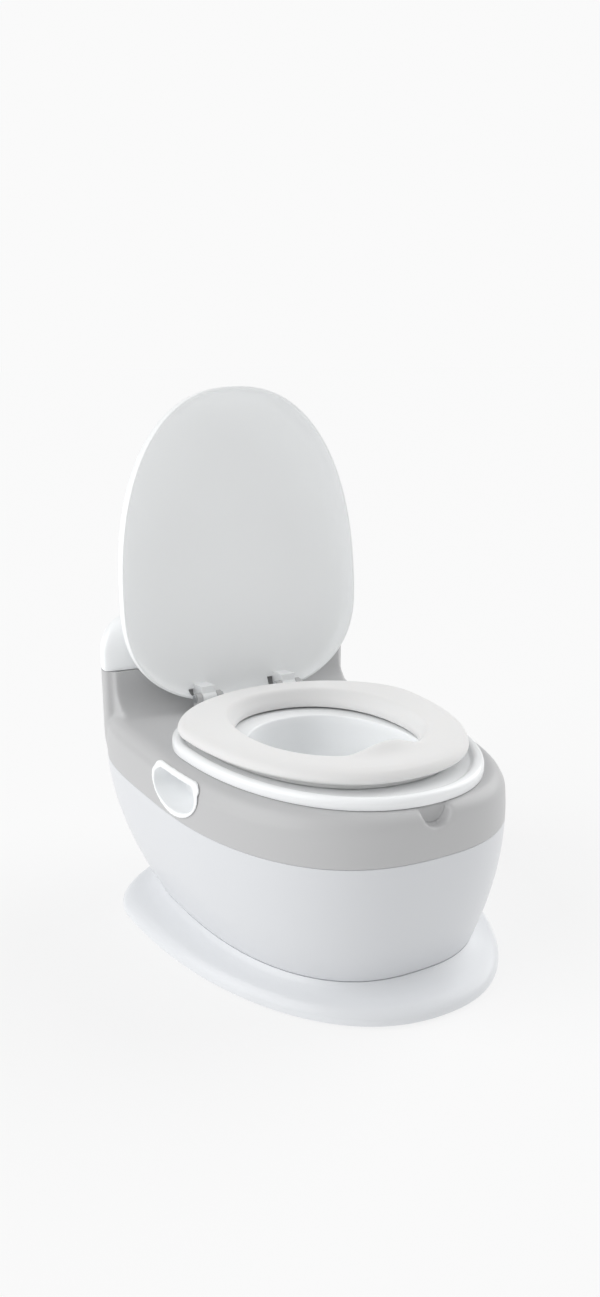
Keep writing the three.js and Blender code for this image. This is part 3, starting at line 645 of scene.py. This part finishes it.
@dataclass(frozen=True)
class SoftSkin:
    """A soft foamed skin with a close pebble grain."""

    name: str
    colour: Colour
    roughness: float = 0.62

    def material(self) -> Material:
        """Returns the finish as a material."""
        bench = ShaderBench(self.name)
        cloud = bench.noise(14.0, 3.0)
        pebble = bench.pebbles(1500.0)
        bench.feed(
            Base_Color=bench.blend(self.colour, 0.985, 1.0, cloud),
            Roughness=self.roughness + pebble * 0.08 - cloud * 0.05,
            Sheen_Weight=0.12, Sheen_Roughness=0.5,
            Subsurface_Weight=0.08, Subsurface_Radius=(0.004, 0.0035, 0.003),
            Subsurface_Scale=0.6)
        bench.bump(pebble * 0.7 + bench.noise(420.0, 2.0) * 0.3, 0.16, 0.0002)
        return bench.material


@dataclass(frozen=True)
class FootRubber:
    """A dull rubber with dust in its pores."""

    name: str
    colour: Colour

    def material(self) -> Material:
        """Returns the finish as a material."""
        bench = ShaderBench(self.name)
        dust = bench.noise(260.0, 4.0)
        bench.feed(
            Base_Color=bench.blend(self.colour, 1.0, 1.35, dust), Roughness=0.78 + dust * 0.12)
        bench.bump(dust, 0.25, 0.0003)
        return bench.material


@dataclass(frozen=True)
class PlatedSteel:
    """A plated fastener steel with fine turning marks."""

    name: str
    colour: Colour

    def material(self) -> Material:
        """Returns the finish as a material."""
        bench = ShaderBench(self.name)
        lines = bench.noise(3800.0, 1.0)
        bench.feed(
            Base_Color=bench.blend(self.colour, 0.85, 1.0, lines), Metallic=1.0,
            Roughness=0.26 + lines * 0.14)
        bench.bump(lines, 0.12, 0.0001)
        return bench.material


Finish = MouldedPlastic | SoftSkin | FootRubber | PlatedSteel

SHELL_WHITE = MouldedPlastic("shell_white_plastic", (0.705, 0.719, 0.742), 0.36, coat=0.12)
PLINTH_WHITE = MouldedPlastic("plinth_white_plastic", (0.765, 0.782, 0.805), 0.36, coat=0.12)
# The shell's white plastic with painted light: it is painted lighter than the shell white so
# that the cap and the hand cups, which the lamps leave in shade, show brighter.
WHITE_PAINTED_LIGHTER = MouldedPlastic("white_plastic_painted_lighter", (0.945, 0.960, 0.970), 0.34, coat=0.12)
SHELL_GREY = MouldedPlastic("shell_grey_plastic", (0.525, 0.527, 0.532), 0.40)
# The lid's white plastic with painted light: it is painted lighter so that the lid's front face,
# which the lamps hardly reach, shows brighter.
LID_WHITE_PAINTED_LIGHTER = MouldedPlastic("lid_white_plastic_painted_lighter", (0.940, 0.955, 0.960), 0.40, coat=0.06)
# The bowl's white plastic with painted light: it is painted lighter so that the shade inside the
# bowl and on its rim comes out brighter.
BOWL_WHITE_PAINTED_LIGHTER = MouldedPlastic("bowl_white_plastic_painted_lighter", (0.940, 0.955, 0.965), 0.24, coat=0.25)
FRAME_WHITE = MouldedPlastic("seat_frame_plastic", (0.74, 0.74, 0.735), 0.5)
SEAT_SKIN = SoftSkin("seat_soft_skin", (0.800, 0.797, 0.793))
RUBBER = FootRubber("foot_rubber", (0.16, 0.16, 0.165))
STEEL = PlatedSteel("fastener_steel", (0.62, 0.63, 0.65))


@cache
def material_of(finish: Finish) -> Material:
    """Returns a finish's material, which is made at its first use."""
    return finish.material()


def place_piece(piece: Piece, body: Body, slot: str, finish: Finish, *nodes: str) -> None:
    """Dresses a piece and hands it to its body.

    Args:
        piece: the piece.
        body: the body that it moves with.
        slot: the record's material slot; not used.
        finish: its finish.
        nodes: the frame nodes that it stands for.
    """
    piece.data.materials.clear()
    piece.data.materials.append(material_of(finish))
    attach(piece, body.value)
    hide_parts(*nodes)
    LOG.info("%s: %d faces", piece.name, len(piece.data.polygons))


@dataclass
class Plinth:
    """The oval base under the shell."""

    edge: Plan = Plan(0.1478, -0.2171, 0.138, 0.044, 2.2, 2.3)
    crown: Plan = SHELL.plan(0.024)
    top: float = 0.0237
    foot: float = 0.002
    wall: float = 0.003
    slope: tuple[Point, ...] = (
        (0.03, 0.0078), (0.10, 0.0103), (0.24, 0.0132), (0.42, 0.0152), (0.62, 0.0172),
        (0.82, 0.0198), (0.94, 0.0222), (1.0, 0.0237))

    def build(self) -> None:
        """Builds the base with its hollow underside."""
        maker = RingBuilder("plinth")
        curve, ceiling = flowing(self.slope, 4), self.top - self.wall
        inner_edge, inner_crown = self.edge.grown(-self.wall), self.crown.grown(-self.wall)
        maker.across(inner_crown, inner_crown.grown(-HUB_INSET),
                     [(share, ceiling) for share in (0.9, 0.5, 0.02)])
        maker.across(inner_edge, inner_crown,
                     [(share, height - self.wall) for share, height in reversed(curve)])
        maker.ring(inner_edge, self.foot + 0.0005)
        maker.inward(self.edge, filleted((
            (0.0026, self.foot, 0), (0.0, self.foot, 0.0008), (0.0, 0.0060, 0.0))))
        maker.across(self.edge, self.crown, curve)
        maker.across(self.crown, self.crown.grown(-HUB_INSET),
                     [(share, self.top) for share in (0.02, 0.5, 0.9)])
        place_piece(maker.close(), Body.CHAIR, "shell_white", PLINTH_WHITE, "base_flange")


@dataclass
class LowerShell:
    """The white lower half of the body."""

    bottom: float = 0.024
    top: float = SEAM_HEIGHT - SEAM_GAP / 2
    wall: float = 0.003
    lip: float = 0.0009
    levels: int = 22

    def build(self) -> None:
        """Builds the open tub."""
        floor, foot, rim = self.bottom + self.wall, self.bottom + 0.003, self.top - 0.003
        shares = [step / self.levels for step in range(1, self.levels)]
        maker = RingBuilder("lower_tub").inward(SHELL.plan(floor), (
            (HUB_INSET, floor), (0.04, floor), (0.012, floor), (0.006, floor),
            (0.0036, floor + 0.0008)))
        maker.rings(SHELL.wrap([
            *((self.wall, lerp(floor, self.top, share)) for share in shares),
            *filleted(((self.wall, self.top - 0.002, 0), (self.wall, self.top, self.lip / 2),
                       (0.0, self.top, self.lip), (0.0, rim, 0))),
            *((0.0, lerp(foot, rim, share)) for share in reversed(shares)),
            *filleted(((0.0, foot, 0), (0.0, self.bottom, 0.0016), (0.02, self.bottom, 0))),
            (HUB_INSET, self.bottom)]))
        place_piece(maker.close(), Body.CHAIR, "shell_white", SHELL_WHITE, "lower_shell")


@dataclass
class UpperBody:
    """The grey upper half: deck, cove, cistern box and hinge ears."""

    wall: float = 0.003
    cove_radius: float = 0.026
    cove_plan: Plan = Plan(0.120, 0.060, 0.160, 0.127, 2.6, 4.0)
    cove_top: float = 0.220
    cove_rear: float = 0.166
    cove_reach: float = 0.14
    notch_radius: float = 0.0112
    notch_depth: float = 0.0095
    notch_drop: float = 0.0028
    notch_lip: float = 0.0012
    opening_growth: float = 0.0086
    grid: float = 0.0019
    tank_floor: float = 0.150
    ear_width: float = 0.005
    ear_offset: float = 0.010
    ear_radius: float = 0.005

    def deck(self) -> Piece:
        """Returns the solid deck, from below the seam up to its rounded shoulder."""
        maker = RingBuilder("upper_shell", FINE_SIDES)
        maker.rings(SHELL.flank((0.112, 0.120), 0.0, 10))
        maker.inward(SHELL.plan(DECK_HEIGHT), [
            (inset, DECK_HEIGHT) for inset in (0.03, 0.06, 0.09, 0.115)])
        return maker.close()

    def tank(self) -> Piece:
        """Returns the solid cistern box, taller than its seam."""
        maker = RingBuilder("tank_core", FINE_SIDES)
        maker.ring(TANK_PLAN.grown(-self.wall), 0.118)
        heights = (0.140, 0.155, 0.170, 0.190, 0.205, 0.214)
        return maker.rings([(TANK_PLAN, height) for height in heights]).close()

    def cove(self) -> Piece:
        """Returns the hollow curve that leads from the deck up to the box."""
        low, front, rear = DECK_HEIGHT - self.wall, TANK_PLAN.front_y, self.cove_rear
        column = RingBuilder("cove_column", FINE_SIDES).ring(self.cove_plan, low)
        core = column.ring(self.cove_plan, TANK_HEIGHT + 0.009).close()
        radius = self.cove_radius
        centre_y, centre_z = front - radius, DECK_HEIGHT + radius
        outline = [
            (centre_y + radius * sine, centre_z - radius * cosine)
            for sine, cosine in quarter_turn(16)]
        outline += [(front, self.cove_top), (rear, self.cove_top), (rear, low), (centre_y, low)]
        work(core, prism(outline, -self.cove_reach, self.cove_reach), Cut.KEEP)
        return core

    def notch(self, growth: float = 0.0) -> Piece:
        """Returns the cutter for the finger notch, grown by a distance."""
        radius, low = self.notch_radius + growth, DECK_HEIGHT - self.notch_drop
        front = SHELL.fronts[2] + ORIGIN_Y
        depth = self.notch_depth + growth
        made = bar(radius, 2 * depth, (0, front, low), "Y", 64)
        above = block((-radius, front - depth, low), (radius, front + depth, low + 0.02))
        work(made, above, Cut.JOIN)
        return made

    def floor_plate(self) -> Piece:
        """Returns the cistern box's own floor."""
        floor = self.tank_floor
        return RingBuilder("tank_floor").inward(TANK_PLAN.grown(-self.wall + 0.0002), (
            (0.02, floor - 0.003), (0.0, floor - 0.003), (0.0, floor + 0.004),
            (0.001, floor + 0.0015), (0.004, floor), (0.02, floor))).close()

    def ears(self) -> list[Piece]:
        """Returns the four hinge ears."""
        made = []
        half, reach = self.ear_width / 2, self.ear_radius
        for x in (side * HINGE_X + offset for side in (-1, 1)
                  for offset in (-self.ear_offset, self.ear_offset)):
            ear = block((x - half, HINGE_Y - reach, DECK_HEIGHT - 0.001),
                        (x + half, HINGE_Y + reach, HINGE_Z))
            work(ear, bar(reach, self.ear_width, (x, HINGE_Y, HINGE_Z), "X"), Cut.JOIN)
            work(ear, bar(PIN_BORE, 0.02, (x, HINGE_Y, HINGE_Z), "X"), Cut.REMOVE)
            round_edges(ear, 0.0006, 3, 50.0)
            settle(ear)
            made.append(ear)
        return made

    def build(self, recess: "HandRecess") -> None:
        """Builds the upper half.

        Args:
            recess: the hand recess, which gives its own hole.
        """
        body = self.deck()
        work(body, self.tank(), Cut.JOIN)
        work(body, self.cove(), Cut.JOIN)
        work(body, self.notch(self.notch_lip), Cut.REMOVE)
        melt(body, self.grid)
        work(body, self.notch(), Cut.REMOVE)
        cut_flat(body, SEAM_HEIGHT + SEAM_GAP / 2, True)
        cut_flat(body, TANK_HEIGHT, False)
        apply_modifier(body, "SOLIDIFY", thickness=self.wall, offset=-1.0, use_rim=True)
        opening = RingBuilder("opening_core")
        plan = MOUTH_PLAN.grown(self.opening_growth)
        work(body, opening.ring(plan, 0.130).ring(plan, 0.175).close(), Cut.REMOVE)
        for side in (-1, 1):
            work(body, recess.hole(side), Cut.REMOVE)
        settle(body, 40.0)
        whole = merge([body, self.floor_plate(), *self.ears()], "upper_shell")
        place_piece(whole, Body.CHAIR, "shell_grey", SHELL_GREY, "upper_body")


@dataclass
class HandRecess:
    """The D-shaped finger cup in each flank."""

    top: float = 0.161
    depth_of_face: float = 0.029
    centre_y: float = -0.030
    half_length: float = 0.036
    rim: float = 0.0026
    proud: float = 0.0012
    gap: float = SEAM_GAP
    hole_x: float = 0.094
    flange_x: float = 0.100
    floor_x: float = 0.110
    outside_x: float = 0.150
    cup_wall: float = 0.0018
    corner: float = 0.0115
    lean: float = 0.005
    belly_drop: float = 0.005
    belly_share: float = 0.56
    pocket_round: float = 0.0105
    grid: float = 0.00062

    def outline(self, margin: float) -> Path:
        """Returns the D, flat side up, moved outward by a margin."""
        half, top = self.half_length + margin, self.top + margin
        bottom = self.top - self.depth_of_face - margin
        middle = (top + bottom) / 2
        before, turn, after = (half - self.corner, top), (half, top), (half, top - self.corner)
        belly = (half, middle - self.belly_drop), (half * self.belly_share, bottom)
        points = [bend(step / 8, before, turn, after) for step in range(9)]
        points += [bend(step / 24, after, *belly, (0, bottom)) for step in range(1, 25)]
        mirrored = [(-y, z) for y, z in reversed(points[:-1])]
        return [
            (y + self.centre_y - self.lean * (self.top - z) / self.depth_of_face, z)
            for y, z in points + mirrored]

    def hole(self, side: int) -> Piece:
        """Returns the cutter for the hole in the flank on one side."""
        return prism(self.outline(self.gap), side * self.hole_x, side * self.outside_x)

    def flank(self, growth: float) -> Piece:
        """Returns the body's solid flank, grown by a distance."""
        maker = RingBuilder("flank_core", FINE_SIDES)
        return maker.rings(SHELL.flank((0.118,), growth, 8)).close()

    def build(self, side: int, name: str) -> None:
        """Builds one cup.

        Args:
            side: 1 for the sitter's left, -1 for the right.
            name: the frame node that it stands for.
        """
        far = side * self.outside_x
        flange = prism(self.outline(self.rim), side * self.flange_x, far)
        work(flange, self.flank(self.proud + self.gap), Cut.KEEP)
        work(flange, self.flank(self.gap), Cut.REMOVE)
        cup = prism(self.outline(0.0), side * (self.floor_x - self.cup_wall), far)
        work(cup, self.flank(self.proud + self.gap), Cut.KEEP)
        work(flange, cup, Cut.JOIN)
        pocket = prism(
            self.outline(-self.cup_wall), side * self.floor_x, side * (self.outside_x + 0.005))
        round_edges(pocket, self.pocket_round, 7, 60.0)
        work(flange, pocket, Cut.REMOVE)
        melt(flange, self.grid)
        flange.name = name.replace("recess_cup", "hand_cup")
        settle(flange, 50.0)
        place_piece(flange, Body.CHAIR, "shell_white", WHITE_PAINTED_LIGHTER, name)


@dataclass
class CisternCap:
    """The domed cap of the cistern box."""

    low: float = TANK_HEIGHT + SEAM_GAP
    top: float = 0.251
    shoulder: float = 0.030
    wall: float = 0.003
    skirt: float = 0.004
    skirt_out: float = 0.0046
    skirt_in: float = 0.0076
    hub_y: float = 0.1505
    crown: Plan = Plan(0.097, 0.141, 0.160, 0.1585, 3.0, 2.3)

    def dome(self, inset: float) -> Stations:
        """Returns the stations from the middle of the top down to the seam."""
        side, crown = TANK_PLAN.grown(-inset), self.crown.grown(-inset)
        top, low = self.top - inset, self.top - self.shoulder
        return [
            (Plan(crown.half_width * share, lerp(self.hub_y, crown.front_y, share),
                  lerp(self.hub_y, crown.rear_y, share), self.hub_y, 2.2, 2.2), top)
            for share in (0.15, 0.5, 0.8, 0.94)] + [
            (side.toward(crown, 1 - cosine), low + (top - low) * sine)
            for sine, cosine in reversed(quarter_turn(12))]

    def build(self) -> None:
        """Builds the hollow cap with its locating skirt."""
        maker = RingBuilder("cistern_cap").rings(self.dome(self.wall))
        low, foot, out, into = self.low, self.low - self.skirt, self.skirt_out, self.skirt_in
        maker.inward(TANK_PLAN, (
            (self.wall, low + 0.004), (into, low + 0.003), (into, foot + 0.0005),
            (into - 0.0005, foot), (out + 0.0005, foot), (out, foot + 0.0005),
            (out, low + 0.0004), (self.wall - 0.0005, low), (0.0009, low),
            (0.0003, low + 0.0003), (0.0, low + 0.0009), (0.0, low + 0.006)))
        maker.rings(self.dome(0.0)[::-1])
        place_piece(maker.close(), Body.CAP, "shell_white", WHITE_PAINTED_LIGHTER, "tank_cap")


@dataclass
class Bowl:
    """The lift-out bowl with its wide rim."""

    lip_low: float = DECK_HEIGHT + SEAM_GAP
    wall: float = 0.0026
    floor: float = 0.076
    mouth: float = 0.169
    mouth_top: float = 0.1712
    inset: float = 0.022
    lip: float = 0.009
    bead: float = 0.0118

    def side(self, offset: float, drop: float, steps: int = 18) -> Stations:
        """Returns the stations of the deep wall, from the floor up."""
        return [
            (MOUTH_PLAN.grown(offset - self.inset * share ** 2),
             self.mouth - drop - (self.mouth - self.floor) * share)
            for share in (step / steps for step in range(steps, -1, -1))]

    def build(self) -> None:
        """Builds the bowl."""
        maker = RingBuilder("bowl_shell")
        floor, lip = self.floor, self.lip_low
        floor_plan, flange, wall = MOUTH_PLAN.grown(-self.inset), RIM_TOP - 0.0033, self.wall
        maker.inward(floor_plan, (
            (0.034, floor - 0.0028), (0.020, floor - 0.0026),
            (0.010, floor - 0.0022), (0.004, floor - 0.0014)))
        maker.rings(self.side(0.0, 0.0)[:-1])
        maker.outward(MOUTH_PLAN, (
            (0.0000, 0.1696), (0.0003, 0.1703), (0.0009, 0.1708), (0.0018, 0.1710),
            (self.lip, self.mouth_top)))
        maker.across(MOUTH_PLAN.grown(self.lip), RIM_PLAN.grown(-self.bead), [
            (share, lerp(self.mouth_top, flange, share)) for share in (0.25, 0.5, 0.75, 1.0)])
        maker.inward(RIM_PLAN, flowing((
            (0.0110, flange + 0.0002), (0.0098, flange + 0.0011), (0.0082, flange + 0.0024),
            (0.0058, RIM_TOP), (0.0026, RIM_TOP - 0.0003), (0.0010, RIM_TOP - 0.0014),
            (0.0002, RIM_TOP - 0.0030), (0.0000, RIM_TOP - 0.0048), (0.0000, lip + 0.0006),
            (0.0005, lip)), 3))
        maker.inward(RIM_PLAN, (
            (wall - 0.0004, lip), (wall, lip + 0.0006), (wall, flange - wall)))
        maker.outward(MOUTH_PLAN, ((0.0116, flange - wall * 1.5), (wall * 2, flange - wall * 2)))
        maker.rings(self.side(wall, wall)[::-1])
        maker.inward(floor_plan.grown(wall), (
            (0.0, floor - 0.0042), (0.006, floor - 0.0052), (0.030, floor - 0.0052)))
        place_piece(maker.close(), Body.BOWL, "bowl_white", BOWL_WHITE_PAINTED_LIGHTER, "bowl")


@dataclass
class SeatRing:
    """The soft ring with its splash guard, on a rigid frame."""

    bottom: float = 0.1787
    top: float = 0.1905
    flare: float = 0.005
    skirt_low: float = 0.1729
    skirt: float = 0.004
    guard: float = 0.0090
    guard_angle: float = 0.46

    def lift(self, turn: float, share: float) -> float:
        """Returns how far the splash guard raises a point at a turn."""
        away = abs(turn) / self.guard_angle
        return self.guard * share * math.cos(away * math.pi / 2) ** 2 if away < 1 else 0.0

    def crowned(self, height: float, share: float) -> Level:
        """Returns a level that the guard raises by a share."""
        return lambda x, y, turn: height + self.lift(turn, share)

    def cushion(self) -> None:
        """Builds the soft ring."""
        low, top, skirt = self.bottom, self.top, self.skirt_low
        pad = top - low
        flared = SEAT_HOLE_PLAN.grown(self.flare)
        maker = RingBuilder("soft_ring", FINE_SIDES)
        maker.outward(SEAT_PLAN, flowing((
            (-0.0030, low), (-0.0006, low + pad * 0.14),
            (0.0, low + pad * 0.30), (-0.0007, low + pad * 0.52),
            (-0.0033, low + pad * 0.78), (-0.0080, low + pad * 0.94)), 4))
        maker.across(SEAT_PLAN.grown(-0.0105), flared.grown(0.0015), [
            (share, self.crowned(height, guard)) for share, height, guard in (
                (0.0, top - 0.0003, 0.0), (0.18, top, 0.0), (0.38, top, 0.02),
                (0.55, top - 0.0001, 0.10), (0.70, top - 0.0003, 0.30),
                (0.82, top - 0.0005, 0.60), (0.92, top - 0.0008, 0.88))])
        maker.outward(flared, [
            (offset, self.crowned(height, guard)) for offset, height, guard in (
                (0.0012, top - 0.0012, 1.0), (-0.0002, top - 0.0022, 0.98),
                (-0.0012, top - 0.0038, 0.88), (-0.0022, top - 0.0060, 0.65),
                (-0.0034, top - 0.0085, 0.35), (-0.0046, low + 0.001, 0.10))])
        maker.outward(SEAT_HOLE_PLAN, (
            (0.0, low - 0.001), (0.0, skirt + 0.0012),
            (0.0006, skirt + 0.0004), (0.0018, skirt),
            (0.0030, skirt + 0.0003), (0.0038, skirt + 0.0012),
            (0.0038, low - 0.0002), (0.0045, low)))
        maker.ring(SEAT_PLAN.grown(-0.0030), low)
        ring = maker.close(60.0)
        place_piece(ring, Body.SEAT, "seat_soft", SEAT_SKIN, "seat_cushion")

    def frame(self) -> None:
        """Builds the rigid frame under the soft ring."""
        low, high = RIM_TOP + 0.0006, RIM_TOP + 0.0032
        foot_low = RIM_TOP - 0.0031
        outer, inner = SEAT_PLAN.grown(-0.012), SEAT_HOLE_PLAN.grown(self.skirt + SEAM_GAP)
        collar_low = self.skirt_low + 0.001
        maker = RingBuilder("seat_carrier").inward(outer, (
            (0.004, low), (0.004, foot_low + 0.0004), (0.0036, foot_low), (0.0004, foot_low),
            (0.0, foot_low + 0.0004), (0.0, high - 0.0004), (0.0004, high)))
        maker.outward(inner, (
            (0.0, high), (0.0, collar_low), (0.0026, collar_low), (0.0026, low)))
        maker.ring(outer.grown(-0.004), low)
        place_piece(maker.close(), Body.SEAT, "seat_frame_white", FRAME_WHITE, "seat_frame")


@dataclass
class Lid:
    """The dished lid, modelled closed about its axis and turned open."""

    plan: Plan = Plan(0.119, -0.2755, 0.007, -0.088, 2.3, 2.45)
    wall: float = 0.0024
    inner_power: float = 4.2
    side_drop: float = 0.0017
    rear_rise: float = 0.003
    hinge_crown: float = 0.020
    crown: float = 0.025
    power: float = 4.4
    lean: float = 3.5
    knuckle: float = 0.014
    barrel: float = 0.005
    ear_room: float = 0.0134
    root: tuple[Point, ...] = (
        (-0.0105, -0.0025), (0.0046, -0.0025), (0.0046, 0.0134), (0.0, 0.0165),
        (-0.0105, 0.0191))

    def edge(self, turn: float) -> float:
        """Returns the height of the lid's edge at a turn."""
        return lerp(-self.side_drop, self.rear_rise, ((1 - math.cos(turn)) / 2) ** 4)

    def crown_at(self, y: float) -> float:
        """Returns the dish's full height at a distance from the hinge."""
        near, far = 0.088, 0.182
        share = min(max((-y - near) / (far - near), 0.0), 1.0)
        return lerp(self.hinge_crown, self.crown, share * share * (3 - 2 * share))

    def dish_ring(self, maker: RingBuilder, share: float, thick: float, inset: float,
                  dip: float = 0.0) -> None:
        """Adds one ring of the dish.

        Args:
            maker: the builder.
            share: 0 at the edge, 1 at the middle.
            thick: how far the ring lies above the inner face.
            inset: how far the edge is drawn in.
            dip: how far the ring hangs below the edge.
        """
        edge = self.plan.grown(-inset)
        hub_y = (self.plan.widest_y + (self.plan.front_y + self.plan.rear_y) / 2) / 2
        power = self.power if thick else self.inner_power
        rise = (1 - (1 - share) ** power) ** (1 / power)
        hub = Plan(0.0, hub_y, hub_y, hub_y, edge.front_power, edge.rear_power)
        maker.ring(edge.toward(hub, share), lambda x, y, turn: lerp(
            self.edge(turn), self.crown_at(y), rise) + thick * rise - dip)

    def build(self) -> None:
        """Builds the lid with its hinge knuckles."""
        maker = RingBuilder("lid_panel", FINE_SIDES)
        shares = (0.0, 0.0008, 0.003, 0.008, 0.016, 0.028, 0.045, 0.07, 0.10, 0.14, 0.19,
                  0.25, 0.32, 0.40, 0.50, 0.60, 0.70, 0.80, 0.90, 0.97)
        for share in reversed(shares):
            self.dish_ring(maker, share, 0.0, self.wall)
        for inset, dip in ((0.0021, 0.0006), (0.0012, 0.0009), (0.0003, 0.0006)):
            self.dish_ring(maker, 0.0, 0.0, inset, dip)
        for share in shares:
            self.dish_ring(maker, share, self.wall, 0.0)
        panel = maker.close(40.0)
        panel.location.y = -ORIGIN_Y
        settle(panel, 40.0)
        for side in (-1, 1):
            self.hinge_side(panel, side * HINGE_X)
        panel.rotation_euler.x = -math.radians(90 + self.lean)
        panel.location = (0, HINGE_Y, HINGE_Z)
        settle(panel, 40.0)
        place_piece(panel, Body.LID, "lid_white", LID_WHITE_PAINTED_LIGHTER, "lid")

    def hinge_side(self, panel: Piece, x: float) -> None:
        """Makes the room for the ears and the knuckle at one hinge."""
        room, half = self.ear_room, self.knuckle / 2
        work(panel, block((x - room, -0.0064, -0.03), (x + room, 0.03, 0.05)), Cut.REMOVE)
        root = prism([(y - ORIGIN_Y, z) for y, z in self.root], x - half, x + half)
        work(root, bar(self.barrel, self.knuckle, (x, 0, 0), "X"), Cut.JOIN)
        work(panel, root, Cut.JOIN)
        work(panel, bar(PIN_BORE, 0.04, (x, 0, 0), "X"), Cut.REMOVE)


@dataclass
class Hardware:
    """Feet, screws and pins."""

    foot_height: float = 0.0037
    places: tuple[Point, ...] = (
        (-0.092, -0.130), (-0.092, 0.092), (0.092, -0.130), (0.092, 0.092))

    def foot(self, name: str, x: float, y: float) -> Piece:
        """Returns one rubber foot with a grooved sole and its stem.

        Args:
            name: the foot's name.
            x: its place across.
            y: its place along.

        Returns:
            The foot.
        """
        top = self.foot_height
        made = RingBuilder(name, 48).rings([
            (Plan(radius, y - radius, y + radius, y, 2.0, 2.0), height) for radius, height in (
                (0.0020, 0.0006), (0.0035, 0.0006), (0.0040, 0.0), (0.0062, 0.0),
                (0.0067, 0.0006), (0.0078, 0.0006), (0.0083, 0.0), (0.0103, 0.0),
                (0.0108, 0.0003), (0.0110, 0.0009), (0.0110, 0.0030), (0.0107, 0.0036),
                (0.0100, top), (0.0045, top), (0.0040, 0.0042), (0.0040, 0.0080),
                (0.0036, 0.0090), (0.0010, 0.0090))]).close(50.0)
        made.location.x = x
        settle(made, 50.0)
        return made

    def build(self, frame: dict[str, dict[str, Piece]]) -> None:
        """Builds the feet and dresses the fasteners.

        Args:
            frame: the loaded frame.
        """
        for index, (x, y) in enumerate(self.places, start=1):
            sole = self.foot(f"rubber_foot_{index}", x, y)
            place_piece(sole, Body.CHAIR, "foot_rubber", RUBBER, f"foot_{index}")
        for name, node in frame["nodes"].items():
            if name.startswith(("hinge_pin", "base_screw", "body_screw")):
                for place in node.material_slots:
                    place.material = material_of(STEEL)


@dataclass
class Studio:
    """Floor, light and camera."""

    backdrop: float = 0.955
    paper: float = 0.22
    paper_glow: float = 0.728
    sky: float = 0.52
    lamps: tuple[tuple[str, float, float, float, float], ...] = (
        ("left_softbox", 1.55, 58.0, -102.0, 60.0),
        ("right_softbox", 1.45, 58.0, 95.0, 55.0))
    azimuth: float = -30.0
    elevation: float = 17.5
    distance: float = 0.9754
    target: tuple[float, float, float] = (0.0, ORIGIN_Y, 0.1861)
    sensor_mm: float = 36.0
    focal_px: float = 1123.2
    image_height_px: float = 1297.0
    centre_row_px: float = 709.4

    def floor(self) -> None:
        """Lays the pale floor."""
        deselect_all()
        bpy.ops.mesh.primitive_plane_add(size=80.0, location=(0, 0, 0))
        floor = bpy.context.object
        floor.name = "studio_floor"
        bench = ShaderBench("studio_paper")
        bench.feed(Base_Color=(self.paper, self.paper, self.paper, 1.0), Roughness=0.95,
                   Specular_IOR_Level=0.0, Emission_Color=(1.0, 1.0, 1.0, 1.0),
                   Emission_Strength=self.paper_glow)
        floor.data.materials.append(bench.material)

    def light(self) -> None:
        """Sets the even sky and a wide soft lamp on each side."""
        world = bpy.data.worlds.new("studio_sky")
        bpy.context.scene.world = world
        world.use_nodes = True
        nodes, links = world.node_tree.nodes, world.node_tree.links
        background = nodes["Background"]
        background.inputs["Color"].default_value = (1.0, 1.0, 1.0, 1.0)
        path = nodes.new("ShaderNodeLightPath")
        amount = nodes.new("ShaderNodeMix")
        amount.inputs[2].default_value = self.sky
        amount.inputs[3].default_value = self.backdrop
        links.new(path.outputs["Is Camera Ray"], amount.inputs[0])
        links.new(amount.outputs[0], background.inputs["Strength"])
        for name, strength, tilt, way, spread in self.lamps:
            bpy.ops.object.light_add(type="SUN", location=(0, 0, 2))
            lamp = bpy.context.object
            lamp.name = name
            lamp.data.energy = strength
            lamp.data.angle = math.radians(spread)
            lamp.rotation_euler = (math.radians(tilt), 0, math.radians(way))

    def camera(self) -> None:
        """Places the camera at the picture's viewing angle."""
        a, e = math.radians(self.azimuth), math.radians(self.elevation)
        away = (math.sin(a) * math.cos(e), -math.cos(a) * math.cos(e), math.sin(e))
        place = [t + self.distance * d for t, d in zip(self.target, away)]
        bpy.ops.object.camera_add(location=place, rotation=(math.pi / 2 - e, 0, a))
        camera = bpy.context.object
        camera.data.sensor_width = self.sensor_mm
        camera.data.lens = self.focal_px * self.sensor_mm / self.image_height_px
        camera.data.shift_y = self.centre_row_px / self.image_height_px - 0.5
        bpy.context.scene.camera = camera

    def build(self) -> None:
        """Sets up the whole studio."""
        self.floor()
        self.light()
        self.camera()
        bpy.context.scene.view_settings.view_transform = "Standard"


def main() -> None:
    """Builds the chair piece by piece."""
    logging.basicConfig(level=logging.INFO, format="%(name)s: %(message)s")
    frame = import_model()
    recess = HandRecess()
    Plinth().build()
    LowerShell().build()
    UpperBody().build(recess)
    recess.build(1, "recess_cup_left")
    recess.build(-1, "recess_cup_right")
    CisternCap().build()
    Bowl().build()
    seat = SeatRing()
    seat.cushion()
    seat.frame()
    Lid().build()
    Hardware().build(frame)
    Studio().build()


if __name__ == "__main__":
    main()
